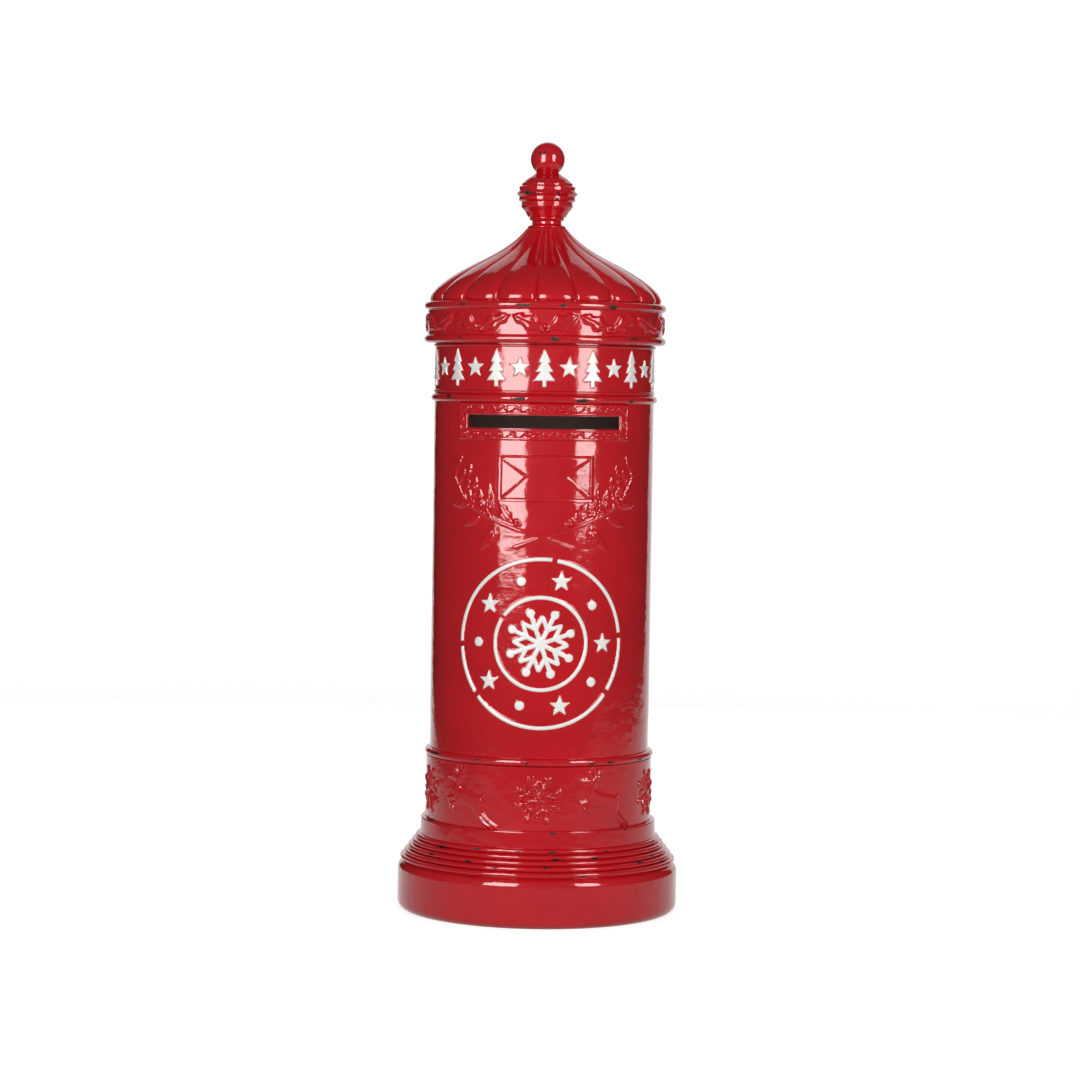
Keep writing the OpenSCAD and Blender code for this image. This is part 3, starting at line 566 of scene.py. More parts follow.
def sprig_relief(u, v, top):
    """One holly sprig in wrapped coordinates: a bowed stem, leaves on both sides of it, the far
    ones on stalks, and berries near its foot."""
    stem = [(38, 479), (12, 489), (-11.7, 497), (-35.1, 503.6), (-50.9, 509), (-75.4, 518.9),
            (-97.5, 530.8), (-111.1, 542), (-120.1, 555.3), (-128.1, 567.8), (-130.2, 575.5)]
    stalks = [((-95, 530), (-92.7, 546.5)), ((-108, 541), (-108.5, 551.8)),
              ((-120, 556), (-111.7, 568.3)), ((-111, 545), (-103.5, 568.5)),
              ((-129, 570), (-121.5, 581.6)), ((-66, 515), (-75.5, 527.6))]
    # Foot, tip and width of each leaf
    leaves = [
        ((-38.3, 511.3), (-57.3, 538.4), 13), ((-43.6, 513.1), (-57.6, 525.3), 9),
        ((-102.7, 531.5), (-135.5, 533.2), 11), ((-84.8, 516.6), (-111.7, 505.8), 13),
        ((-58.3, 504.9), (-83.4, 475.3), 17), ((-61.7, 510.6), (-56.4, 489.5), 9),
        ((-78.9, 522.7), (-84.9, 553.6), 9), ((-66.3, 517.3), (-70.4, 559.8), 8),
        ((-98.9, 536.6), (-103.9, 555.9), 8), ((-92.7, 546.5), (-90.7, 569.4), 8),
        ((-108.5, 551.8), (-99.5, 565.7), 6), ((-117.2, 559.3), (-117.5, 570.1), 6),
        ((-111.7, 568.3), (-110.2, 579.5), 6), ((-103.5, 568.5), (-98.6, 584.7), 7),
        ((-126.5, 566.8), (-130.3, 581), 8), ((-121.5, 581.6), (-115.2, 597.4), 7),
        ((-75.5, 527.6), (-72.4, 542.3), 6),
    ]
    berries = [(-33.7, 513.3), (-33.6, 509), (-29.3, 509.6)]
    distance = np.full(u.shape, FAR)
    for i in range(len(stem) - 1):
        r = 2.5 - 0.15 * i
        distance = merge(distance, capsule(u, v, stem[i], stem[i + 1], r, r - 0.15), 1.0)
    for start, end in stalks:
        distance = merge(distance, capsule(u, v, start, end, 1.0, 0.7), 0.6)
    height = np.maximum(carved(distance, top, 1.6), berry_relief(u, v, berries, 3.0, top + 1.2))
    for foot, tip, width in leaves:
        turn = math.degrees(math.atan2(tip[1] - foot[1], tip[0] - foot[0]))
        x, y = local(u, v, foot, turn)
        height = np.maximum(height, leaf_relief(x, y, math.dist(foot, tip), width, top))
    return height


def shaft_carving(sizes):
    """The envelope, the two crossed sprigs and the roundel."""
    top = sizes.relief / MM

    def field(degrees, z):
        u = np.radians(degrees) * SHAFT_R
        height = np.zeros(degrees.shape)
        white = np.full(degrees.shape, FAR)
        sprigs = (z > 462) & (z < 604) & (np.abs(degrees) < 66)
        if sprigs.any():
            us, zs = u[sprigs], z[sprigs]
            left = sprig_relief(us, zs, top * 0.75)
            right = sprig_relief(3 - us, zs - 1, top * 0.75)
            height[sprigs] = np.maximum(np.maximum(left, right), envelope_relief(us, zs))
        disc = np.hypot(2 * SHAFT_R * np.sin(np.radians(degrees) / 2), z - ROUNDEL_Z)
        near = (disc < ROUNDEL_OUTER_R + 6) & (np.abs(degrees) < 75)
        if near.any():
            painted = roundel_distance(u[near], z[near] - ROUNDEL_Z, disc[near])
            white[near] = painted
            height[near] = np.maximum(height[near], carved(painted, top * 0.75, 1.5))
        return {"height": height, "white": white}

    return field


def envelope_relief(u, v):
    """A thin raised sheet with a rule inside its edge and two flaps drawn with raised lines."""
    u, v = u - ENVELOPE_SIDE, v - ENVELOPE_Z
    half_w = np.radians(ENVELOPE_HALF_ANGLE) * SHAFT_R
    edge = np.maximum(np.abs(u) - half_w, np.abs(v) - ENVELOPE_HALF_H)
    height = carved(edge, 1.1, 1.2)
    rule = np.abs(edge + 3.2) - 1.0
    height -= carved(rule, 0.55, 0.8)
    side = np.abs(u)
    for end, foot in ((1, ENVELOPE_HALF_H - 4), (-1, 4 - ENVELOPE_HALF_H)):
        flap = capsule(side, v, (half_w - 5, foot), (half_w - 37, 0.12 * foot * end), 0.9, 0.9)
        height += carved(flap, 0.9, 0.9) * (edge < -3.5)
    return np.where(edge < 0, np.maximum(height, 0.2), 0)


def roundel_distance(u, v, disc):
    """White parts of the roundel: two broken rings, stars and dots between them and a
    snowflake in the middle."""
    bearing = np.degrees(np.arctan2(u, v))
    distance = np.full(u.shape, FAR)
    for reach, gaps in ((ROUNDEL_OUTER_R, (9, 85, 125, 232, 268)), (ROUNDEL_INNER_R, (303,))):
        ring = np.abs(disc - reach + RING_W / 2) - RING_W / 2
        for gap in gaps:
            across = np.radians(np.abs(turned_from(bearing, gap))) * disc
            ring = np.maximum(ring, 3.4 - across)
        distance = np.minimum(distance, ring)
    distance = np.minimum(distance, snowflake(u, v, 46, 5.4))
    for i in range(10):
        turn = math.radians(36 * i + 18)
        place = (83 * math.sin(turn), 83 * math.cos(turn))
        if i % 2 == 0:
            mark = star(u - place[0], v - place[1], STAR_REACH)
        else:
            mark = np.hypot(u - place[0], v - place[1]) - 6
        distance = np.minimum(distance, mark)
    return distance


def slot_carving(sizes):
    """Frame of the slot: a rule outside, a lip inside and a running wave between them."""
    top = sizes.relief / MM

    def field(degrees, z):
        u, v = np.radians(degrees) * SHAFT_R, z - SLOT_Z
        frame_w, lip_w = (np.radians(a) * SHAFT_R for a in (FRAME_HALF_ANGLE, LIP_HALF_ANGLE))
        outside = np.maximum(np.abs(u) - frame_w, np.abs(v) - FRAME_HALF_H)
        lip = np.maximum(np.abs(u) - lip_w, np.abs(v) - LIP_HALF_H)
        height = carved(outside, 1.3, 1.4)
        height += carved(np.abs(outside + 2.2) - 1.3, 0.8, 1.2)
        height += carved(np.abs(lip + 1.1) - 1.5, 1.2, 1.4)
        between = np.maximum(outside + 3.4, -(lip - 0.6))
        middle = (FRAME_HALF_H + LIP_HALF_H) / 2 - 1.2
        along = (np.abs(v) > LIP_HALF_H + 0.4) & (np.abs(u) < lip_w + 9)
        wave = np.where(v > 0, scroll(u, v - middle), scroll(u + 6, v + middle))
        side = scroll(v * np.sign(u) + 4, (lip_w + frame_w) / 2 - 0.4 - np.abs(u))
        wave = np.where(along, wave, np.where(np.abs(u) > lip_w, side, 9))
        height += carved(np.maximum(wave, between), top * 0.62, 0.9)
        return {"height": height}

    return field


def band_carving(sizes):
    """White fir trees and stars in turn round the front of the band."""
    top = sizes.relief / MM

    def field(degrees, z):
        middle = LETTER_Z + (RIM_Z - LETTER_Z) / 2 - 1
        white = np.full(degrees.shape, FAR)
        for i in range(MOTIF_COUNT):
            at = MOTIF_PITCH * (i - (MOTIF_COUNT - 1) / 2)
            near = np.abs(degrees - at) < 9
            u, v = np.radians(degrees[near] - at) * SHAFT_R, z[near] - middle
            motif = fir_tree(u, v, *TREE_SIZE) if i % 2 == 0 else star(u, v, STAR_REACH)
            white[near] = np.minimum(white[near], motif)
        return {"height": carved(white, top * 0.85, 1.3), "white": white}

    return field


def lid_carving(sizes):
    """Holly round the lid: pairs of leaves that spread from their berries."""
    top = sizes.relief / MM + 0.8

    def field(degrees, z):
        height = np.zeros(degrees.shape)
        for i in range(HOLLY_COUNT):
            u = np.radians(turned_from(degrees, 360 / HOLLY_COUNT * i)) * LID_FRIEZE_R
            near = np.abs(u) < 48
            un, vn = u[near], z[near] - LID_FRIEZE_Z - 6
            part = berry_relief(un, vn, ((-3.4, 0), (3.4, 0), (0, 5)), 3.2, top + 1)
            for side in (-1, 1):
                x, y = local(un * side, vn, (3, 2), 23)
                part = np.maximum(part, leaf_relief(x, y, 43, 22, top, 2.5))
            height[near] = np.maximum(height[near], part)
        return {"height": np.where((z > LID_FRIEZE_Z) & (z < UPPER_BEAD_Z), height, 0)}

    return field


# Materials

def add_node(tree, kind, settings=None, links=None, **fields):
    """Adds a node: fields are its own settings, settings its sockets' values, and links what
    feeds its sockets."""
    node = tree.nodes.new(kind)
    for key, value in fields.items():
        setattr(node, key, value)
    for key, value in (settings or {}).items():
        node.inputs[key].default_value = value
    for key, source in (links or {}).items():
        tree.links.new(source, node.inputs[key])
    return node


def new_material(name):
    """A material with a principled shader. Returns the object coordinates as well."""
    material = bpy.data.materials.new(name)
    material.use_nodes = True
    tree = material.node_tree
    tree.nodes.clear()
    shader = add_node(tree, "ShaderNodeBsdfPrincipled")
    add_node(tree, "ShaderNodeOutputMaterial", links={"Surface": shader.outputs["BSDF"]})
    return material, tree, shader, add_node(tree, "ShaderNodeTexCoord").outputs["Object"]


def feed(tree, node, slot, value):
    """Puts a value, or the link from a socket, into a node's slot."""
    if isinstance(value, bpy.types.NodeSocket):
        tree.links.new(value, node.inputs[slot])
    else:
        node.inputs[slot].default_value = value


def ramp(tree, source, low, high):
    """0 to 1, eased, as the source goes from low to high."""
    return add_node(tree, "ShaderNodeMapRange", {"From Min": low, "From Max": high}, {"Value": source},
                    interpolation_type="SMOOTHSTEP").outputs["Result"]


def noise(tree, where, scale_mm, detail=3.0, rough=0.5):
    """Noise whose cells are about scale_mm across."""
    values = {"Scale": 1 / (scale_mm * MM), "Detail": detail, "Roughness": rough}
    return add_node(tree, "ShaderNodeTexNoise", values, {"Vector": where}).outputs["Fac"]


def stretched(tree, where, scale):
    """Coordinates scaled along the axes, so that what is drawn in them is drawn out."""
    return add_node(tree, "ShaderNodeMapping", {"Scale": scale}, {"Vector": where}).outputs["Vector"]


def mixed(tree, factor, a, b):
    """Mix of two colours, each a value or a socket."""
    node = add_node(tree, "ShaderNodeMix", data_type="RGBA")
    for slot, value in ((0, factor), (6, a), (7, b)):
        feed(tree, node, slot, value)
    return node.outputs[2]


def math_node(tree, operation, *values):
    node = add_node(tree, "ShaderNodeMath", operation=operation)
    for slot, value in enumerate(values):
        feed(tree, node, slot, value)
    return node.outputs[0]


def times(tree, a, b):
    return math_node(tree, "MULTIPLY", a, b)


def plus(tree, a, b):
    return math_node(tree, "ADD", a, b)


def greater(tree, a, b):
    return math_node(tree, "MAXIMUM", a, b)


def shade(base, share):
    """A colour with its light scaled down."""
    return (*(c * share for c in base[:3]), 1)


def bumped(tree, shader, height, strength, distance):
    """Lets a height in the given distance, in metres, tilt the surface."""
    values = {"Strength": strength, "Distance": distance}
    bump = add_node(tree, "ShaderNodeBump", values, {"Height": height})
    feed(tree, shader, "Normal", bump.outputs["Normal"])


def brushed_enamel(finish, carved_piece=True):
    """Red enamel sprayed and touched up by brush over a black undercoat on cast resin. Gives the
    deep gloss, the ripple that breaks up the lamps' edges, black chips and white raised parts.
    On the door, which has no carving, the enamel is where the surface is far from the axis."""
    name = "red_enamel_over_black_undercoat" if carved_piece else "red_enamel_on_door"
    material, tree, shader, where = new_material(name)
    if carved_piece:
        chip, white, outside = (add_node(tree, "ShaderNodeAttribute", attribute_name=key).outputs["Fac"]
                                for key in ("chip", "white", "outside"))
    else:
        chip = white = add_node(tree, "ShaderNodeValue").outputs[0]
        chip.default_value = FAR
        flat = stretched(tree, where, (1, 1, 0))
        reach = add_node(tree, "ShaderNodeVectorMath", links={0: flat}, operation="LENGTH").outputs["Value"]
        outside = ramp(tree, reach, (SHAFT_R - 3.2) * MM, (SHAFT_R - 2.8) * MM)
    # Bare undercoat: the chips, with ragged rims, and a few specks
    ragged = math_node(tree, "MULTIPLY_ADD", noise(tree, where, 1.3, 2), 1.6, -0.8)
    chipped = ramp(tree, plus(tree, chip, ragged), 0.15, -0.15)
    bare = greater(tree, chipped, ramp(tree, noise(tree, where, 2.2, 4, 0.6), 0.775, 0.79))
    painted = ramp(tree, white, 0.35, -0.25)
    cloudy = ramp(tree, noise(tree, where, 60, 4, 0.6), 0.35, 0.7)
    streaks = ramp(tree, noise(tree, where, 5, 4, 0.7), 0.3, 0.75)
    red = mixed(tree, cloudy, finish.enamel, shade(finish.enamel, 0.9))
    white_paint = mixed(tree, streaks, finish.white, shade(finish.white, 0.9))
    coat = mixed(tree, bare, mixed(tree, painted, red, white_paint), finish.undercoat)
    feed(tree, shader, "Base Color", mixed(tree, outside, finish.inside, coat))
    # The gloss is lost where the enamel is chipped, painted over or ends
    dull = greater(tree, times(tree, bare, 0.45), times(tree, painted, 0.3))
    inner = times(tree, math_node(tree, "SUBTRACT", 1.0, outside), 0.6)
    feed(tree, shader, "Roughness", plus(tree, greater(tree, dull, inner), 0.1))
    gloss = math_node(tree, "SUBTRACT", GLOSS, times(tree, bare, GLOSS / 2))
    feed(tree, shader, "Specular IOR Level", gloss)
    # Ripple of the sprayed coat, brush strokes in patches, and the chips' depth
    brush = noise(tree, stretched(tree, where, (0.22, 0.22, 1)), 3.4, 3, 0.55)
    patch = ramp(tree, noise(tree, where, 45, 2), 0.4, 0.6)
    brushed = times(tree, brush, plus(tree, times(tree, patch, 0.1), 0.06))
    surface = plus(tree, times(tree, noise(tree, where, 14, 2, 0.4), 0.45), brushed)
    bumped(tree, shader, math_node(tree, "SUBTRACT", surface, times(tree, bare, 0.35)), 1.0, 0.0009)
    return material


def plated_metal(name, base, rough):
    """Plated steel or brass: a fine drawn grain along the height softens the highlight."""
    material, tree, shader, where = new_material(name)
    grain = noise(tree, stretched(tree, where, (1, 1, 0.12)), 0.5, 3)
    feed(tree, shader, "Base Color", mixed(tree, noise(tree, where, 6, 3), base, shade(base, 0.72)))
    feed(tree, shader, "Roughness", plus(tree, times(tree, grain, 0.18), rough))
    feed(tree, shader, "Metallic", 1.0)
    bumped(tree, shader, grain, 0.3, 0.0001)
    return material


def moulded_nylon(finish):
    """Injection-moulded nylon: a faint spark-eroded texture and a waxy sheen."""
    material, tree, shader, where = new_material("moulded_nylon")
    tone = mixed(tree, noise(tree, where, 8, 2), finish.nylon, shade(finish.nylon, 0.93))
    feed(tree, shader, "Base Color", tone)
    feed(tree, shader, "Roughness", 0.45)
    bumped(tree, shader, noise(tree, where, 0.4, 2), 0.25, 0.0001)
    return material


def sintered_ferrite():
    """Pressed ferrite: dull dark grey with a grainy face."""
    material, tree, shader, where = new_material("sintered_ferrite")
    grain = noise(tree, where, 0.6, 3)
    feed(tree, shader, "Base Color", mixed(tree, grain, linear("#2B2B2E"), linear("#3B3B3F")))
    feed(tree, shader, "Roughness", 0.62)
    return material


def birch_board(finish):
    """Sanded birch plywood: long pale grain with darker late wood."""
    material, tree, shader, where = new_material("birch_plywood")
    grain = noise(tree, stretched(tree, where, (0.08, 1, 1)), 5, 5, 0.65)
    tone = mixed(tree, ramp(tree, grain, 0.35, 0.7), finish.board, shade(finish.board, 0.62))
    feed(tree, shader, "Base Color", tone)
    feed(tree, shader, "Roughness", 0.6)
    bumped(tree, shader, grain, 0.4, 0.0002)
    return material


def black_enamel(finish):
    """Black stoved enamel on the knob, slightly uneven, with dull rub marks."""
    material, tree, shader, where = new_material("black_stoved_enamel")
    rub = ramp(tree, noise(tree, where, 3, 4, 0.6), 0.4, 0.75)
    feed(tree, shader, "Base Color", mixed(tree, rub, finish.undercoat, linear("#2C2725")))
    feed(tree, shader, "Roughness", plus(tree, times(tree, rub, 0.2), 0.2))
    return material


MATERIALS = {}


def material_for(key):
    """Makes each material once."""
    finish = bpy.context.scene.letter_box_finish
    makers = {
        "enamel": lambda: brushed_enamel(finish),
        "door": lambda: brushed_enamel(finish, False),
        "hinge": lambda: plated_metal("brass_plated_steel", finish.hinge, 0.22),
        "zinc": lambda: plated_metal("zinc_plated_steel", finish.zinc, 0.3),
        "nylon": lambda: moulded_nylon(finish),
        "ferrite": sintered_ferrite,
        "board": lambda: birch_board(finish),
        "knob": lambda: black_enamel(finish),
    }
    if key not in MATERIALS:
        MATERIALS[key] = makers[key]()
    return MATERIALS[key]


def dress(obj, node):
    """Gives a piece the enamel, its body and the node that it stands for."""
    obj.data.materials.clear()
    obj.data.materials.append(material_for("enamel"))
    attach(obj, "casing")
    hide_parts(node)


# Sections of the castings

def with_rows(path, marks):
    """The same path with a point at each of the marked heights."""
    heights = np.union1d(path[:, 1], marks)
    return np.stack([np.interp(heights, path[:, 1], path[:, 0]), heights], axis=1)


def shaft_rows(low, high, spacing, marks=()):
    """Outer rows of the pillar between two heights, and the inner rows that go with them."""
    outer = with_rows(line_path((SHAFT_R, low), (SHAFT_R, high), spacing), marks)
    inside = [low, high]
    if marks:
        z = outer[:, 1]
        inside = np.unique(np.concatenate([inside, z[(z >= marks[0]) & (z <= marks[1])]]))
    inner = np.stack([np.full(len(inside), INNER_R), np.sort(inside)[::-1]], axis=1)
    return outer, inner


def make_plinth(sizes):
    """Drum, ribs and flared band, then the frieze, both closed shells."""
    rib_h = (BAND_Z - BASE_H) / RIB_COUNT
    parts = [(FOOT_RIM_R, 0), arc((BASE_R - BASE_ROUND, BASE_ROUND), BASE_ROUND, -90, 0, 10),
             line_path((BASE_R, BASE_ROUND), (BASE_R, BASE_H - BASE_ROUND), 5),
             arc((BASE_R - BASE_ROUND, BASE_H - BASE_ROUND), BASE_ROUND, 0, 62, 10)]
    for i in range(RIB_COUNT):
        reach = np.interp(i, (0, RIB_COUNT - 1), RIB_R)
        parts.append(bead_path(BASE_H + i * rib_h, rib_h, reach, 8)[1:-1])
    band_top = FRIEZE_Z - BAND_ROUND
    parts += [line_path((BAND_R[0], BAND_Z + 0.4), (BAND_R[1], band_top), 2),
              arc((BAND_R[1] - BAND_ROUND, band_top), BAND_ROUND, 0, 90, 6), (FRIEZE_R, FRIEZE_Z)]
    inner = [(FRIEZE_INNER_R, FRIEZE_Z), (FRIEZE_INNER_R, 116), (148, 96), (PLINTH_INNER_R, 58),
             (PLINTH_INNER_R, 17), (FOOT_RIM_R, 7)]
    foot = turned_shell("plinth_casting", tidy_path(parts), inner, column_angles(75, 0.45, 1.5))
    angles = round_angles(1.2 * grain_step(sizes, FRIEZE_R))
    outer = line_path((FRIEZE_R, FRIEZE_Z), (FRIEZE_R, FOOT_BEAD_Z), 1.2 * sizes.grain / MM)
    inner = [(FRIEZE_INNER_R, FOOT_BEAD_Z - 6), (FRIEZE_INNER_R, FRIEZE_Z)]
    return foot, turned_shell("plinth_frieze", outer, inner, angles, plinth_carving(sizes))


def make_foot_bead():
    """The bead over the frieze, with the ledge that carries the floor panel behind it."""
    outer = tidy_path([(FRIEZE_R, FOOT_BEAD_Z), bead_path(FOOT_BEAD_Z, BEAD_H, FOOT_BEAD_R, 12)[1:-1],
                       (SHAFT_R, SHAFT_Z)])
    inner = [(INNER_R, SHAFT_Z + 3), (INNER_R, PANEL_Z), (LEDGE_R, PANEL_Z), (LEDGE_R, PANEL_Z - 8),
             (FRIEZE_INNER_R, FOOT_BEAD_Z - 6)]
    return turned_shell("foot_bead", outer, inner, column_angles(75, 0.45, 1.5))


def make_shaft(sizes):
    """Pillar in three lengths: with the roundel and the doorway, with the envelope, and with
    the slot. Each is closed, and they meet edge to edge."""
    grain, step = sizes.grain / MM, grain_step(sizes, SHAFT_R)
    carving = shaft_carving(sizes)
    inner_edge = half_angle(DOOR_HALF_W, INNER_R)
    right = 180 - half_angle(DOOR_HALF_W, SHAFT_R)
    left = -right
    angles = column_angles(58, step * 1.05, 3, (right, left))
    warped = np.interp(angles, [-180, left, 0, right, 180],
                       [-180, inner_edge - 180, 0, 180 - inner_edge, 180])
    outer, inner = shaft_rows(SHAFT_Z, HEAD_Z + 4, grain * 1.08, (SILL_Z, HEAD_Z))
    window = (right, left, SILL_Z, HEAD_Z)
    lower = turned_shell("pillar_lower", outer, inner, angles, carving, window, warped)
    outer, inner = shaft_rows(HEAD_Z + 4, SLOT_Z - FRAME_HALF_H - 1, grain)
    upper = turned_shell("pillar_upper", outer, inner, column_angles(66, step, 3), carving)
    edge, inner_edge = (half_angle(SLOT_HALF_W, radius) for radius in (SHAFT_R, INNER_R))
    heights = (SLOT_Z - SLOT_HALF_H, SLOT_Z + SLOT_HALF_H)
    angles = column_angles(52, step * 0.72, 3, (-edge, edge))
    warped = np.interp(angles, [-180, -edge, edge, 180], [-180, -inner_edge, inner_edge, 180])
    outer, inner = shaft_rows(SLOT_Z - FRAME_HALF_H - 1, NECK_BEAD_Z, grain * 0.72, heights)
    window = (-edge, edge, *heights)
    slot = turned_shell("slot_tier", outer, inner, angles, slot_carving(sizes), window, warped)
    return lower, upper, slot


def prisms(name, solids):
    """Upright prisms in one mesh: each has a convex plan, anticlockwise from above, and two
    heights. Its caps are fans about their middles."""
    vertices, quads = [], []
    for plan, low, high in solids:
        plan = np.asarray(plan, float)
        n, first = len(plan), sum(len(v) for v in vertices)
        ring = [np.column_stack([plan, np.full(n, z)]) for z in (low, high)]
        middles = [[*plan.mean(axis=0), low], [*plan.mean(axis=0), high]]
        vertices.append(np.concatenate([*ring, middles]))
        i = np.arange(n)
        j = (i + 1) % n
        foot, head = np.full(n, 2 * n), np.full(n, 2 * n + 1)
        walls = np.stack([i, j, j + n, i + n], axis=1)
        under = np.stack([j, i, foot, foot], axis=1)
        over = np.stack([i + n, j + n, head, head], axis=1)
        quads.append(np.concatenate([walls, under, over]) + first)
    vertices = np.concatenate(vertices)
    return make_object(name, vertices, np.concatenate(quads), blank_fields(len(vertices), 0.0))


def plan_box(x0, x1, y0, y1):
    return [(x0, y0), (x1, y0), (x1, y1), (x0, y1)]


def make_door_surround():
    """Jambs, sill and head of the doorway, with the lips that the door shuts against. They
    reach into the wall, a hair behind the faces of the doorway."""
    hair = 0.03
    edge = DOOR_HALF_W + hair
    outer = edge + JAMB_T
    wall_r = INNER_R + 1
    reach = [(x, math.sqrt(wall_r ** 2 - x ** 2)) for x in np.linspace(edge, -edge, 17)]
    slab = [(-edge, JAMB_Y), (edge, JAMB_Y), *reach]
    foot, head = SILL_Z - JAMB_T, HEAD_Z + JAMB_T
    inset = edge - STOP_W
    jamb = [(edge, JAMB_Y), (outer, JAMB_Y), (outer, math.sqrt(wall_r ** 2 - outer ** 2)), reach[0]]
    stop = plan_box(inset, edge, *STOP_Y)
    solids = [(slab, foot, SILL_Z - hair), (slab, HEAD_Z + hair, head)]
    for side in (-1, 1):
        for plan, low, high in ((jamb, foot, head), (stop, SILL_Z - hair, HEAD_Z + hair)):
            turned = [(side * x, y) for x, y in plan]
            solids.append((turned if side > 0 else turned[::-1], low, high))
    solids.append((plan_box(-inset, inset, *STOP_Y), SILL_Z - hair, SILL_Z + STOP_W))
    return prisms("door_surround", solids)


def make_neck(sizes):
    """Neck bead and the band of white motifs up to the rim."""
    grain = sizes.grain / MM
    outer = tidy_path([(SHAFT_R, NECK_BEAD_Z), bead_path(NECK_BEAD_Z, BEAD_H, NECK_BEAD_R, 12)[1:-1],
                       (SHAFT_R, NECK_BEAD_Z + BEAD_H), bead_path(LETTER_Z - 4, 4, SHAFT_R + 1.5, 6),
                       line_path((SHAFT_R, LETTER_Z + 0.2), (SHAFT_R, RIM_Z - 5), grain * 0.85),
                       bead_path(RIM_Z - 5, 4, SHAFT_R + 2, 6), (SHAFT_R, RIM_Z)])
    inner = [(INNER_R, RIM_Z), (INNER_R, NECK_BEAD_Z)]
    angles = column_angles(84, 0.9 * grain_step(sizes, SHAFT_R), 2)
    return turned_shell("letter_band", outer, inner, angles, band_carving(sizes))


def ogee():
    """Section of the dome: two cubic curves that share a tangent."""
    t = np.linspace(0, 1, 34)[:, None]
    weights = ((1 - t) ** 3, 3 * (1 - t) ** 2 * t, 3 * (1 - t) * t * t, t ** 3)
    low = ((DOME_R, 0), (DOME_R, 15.5), (117.6, 35.5), (92.6, 48))
    high = ((92.6, 48), (69.8, 59.4), (43.9, 72), (26.2, 94))
    curves = [sum(w * np.array(p, float) for w, p in zip(weights, control, strict=True))
              for control in (low, high)]
    return np.concatenate([curves[0], curves[1][1:]]) + (0, DOME_Z)


def make_lid(sizes):
    """Rim of the lid with its two beads and the holly, then the lobed dome."""
    grain = sizes.grain / MM
    spigot_r = INNER_R - 0.3
    top = UPPER_BEAD_Z + LID_BEAD_H
    frieze = ((LID_FRIEZE_R, LID_FRIEZE_Z + 0.2), (LID_FRIEZE_R, UPPER_BEAD_Z - 0.4))
    outer = tidy_path([(spigot_r, RIM_Z - 15), (spigot_r, RIM_Z),
                       bead_path(RIM_Z, LID_BEAD_H, LID_BEAD_R, 14)[:-1], line_path(*frieze, grain * 0.85),
                       bead_path(UPPER_BEAD_Z, LID_BEAD_H, LID_BEAD_R, 14)[1:], (146, top)])
    inner = [(LID_INNER_R, top), (LID_INNER_R, RIM_Z + 11), (SPIGOT_INNER_R, RIM_Z + 8),
             (SPIGOT_INNER_R, RIM_Z - 15)]
    angles = round_angles(grain_step(sizes, LID_FRIEZE_R))
    rim = turned_shell("lid_rim", outer, inner, angles, lid_carving(sizes))
    foot = [(DOME_R - 5, DOME_Z - 3.5), (DOME_R - 1.5, DOME_Z - 3)]
    path = np.concatenate([foot, ogee(), [(STUD_HOLE_R, CROWN_Z)]])
    inner = [(STUD_HOLE_R, 866), (22, 864), (44, 852), (84, 834), (124, 815), (140, 801),
             (LID_INNER_R, DOME_Z - 3.5)]
    count = sizes.lobes * 24
    depth = sizes.lobe_depth / MM

    def lobes(degrees, z):
        """Each lobe is an arc across, so the creases between them are sharp, and each crease is
        cut a little deeper."""
        across = 2 * np.abs(np.mod((degrees - 95) * sizes.lobes / 360, 1) - 0.5)
        radius = np.interp(z, path[:-1, 1], path[:-1, 0])
        drop = depth * radius / DOME_R * (1 - np.sqrt(1 - (0.995 * across) ** 2))
        drop += 1.3 * (radius / DOME_R) ** 0.5 * np.exp(-((1 - across) / 0.07) ** 2)
        return {"height": np.where(z < CROWN_Z - 0.01, -drop, 0)}

    dome = turned_shell("lid_dome", path, inner, np.arange(count) * 360 / count - 180, lobes)
    return rim, dome


def make_finial():
    """Collar, neck, ribbed bulb and ball, turned; the middle is closed."""
    ribs = [(31, 33.7), (36.5, 37.2), (44.8, 39.9), (53.3, 37), (57.6, 33.6)]
    bulb = []
    for i, (z, r) in enumerate(ribs):
        if i:
            below = ribs[i - 1]
            bulb.append([((below[1] + r) / 2 - 2.2, (below[0] + z) / 2)])
        bulb.append(arc((r - 0.6, z), 0.6, -60, 60, 3))
    ball = arc((0, 89.7), 22.3, -55.5, 90, 40)
    bowl = [(19.2, 6.4), (19.2, 9), (20.4, 10), (22.2, 10.6), (22.8, 11.8), (22.3, 13), (22.4, 13.8),
            (24.4, 14.6), (25.6, 16.2), (27, 18.8), (28.6, 21.6), (30.8, 24), (32.8, 26.4), (33.8, 28.6)]
    shoulder = [(32.2, 59), (31, 60), (29.5, 61.4), (27.6, 63.2), (25.2, 65.1), (22.2, 67), (19.2, 68.8),
                (16.4, 70.8), (14.6, 72.6), (13.7, 73.6)]
    parts = [[(0, 0), (23.6, 0)], arc((23.6, 1.6), 1.5, -90, 50, 6), [(20.6, 4.8), (19.5, 5.4)], bowl]
    parts += bulb + [shoulder, arc((13.4, 74.8), 1.1, -80, 80, 5), [(12.6, 76.2)], ball]
    path = tidy_path(parts) + (0, CROWN_Z)
    path[0, 0] = path[-1, 0] = 0
    return turned_solid("finial_turning", path, np.arange(-180, 180, 1.5))


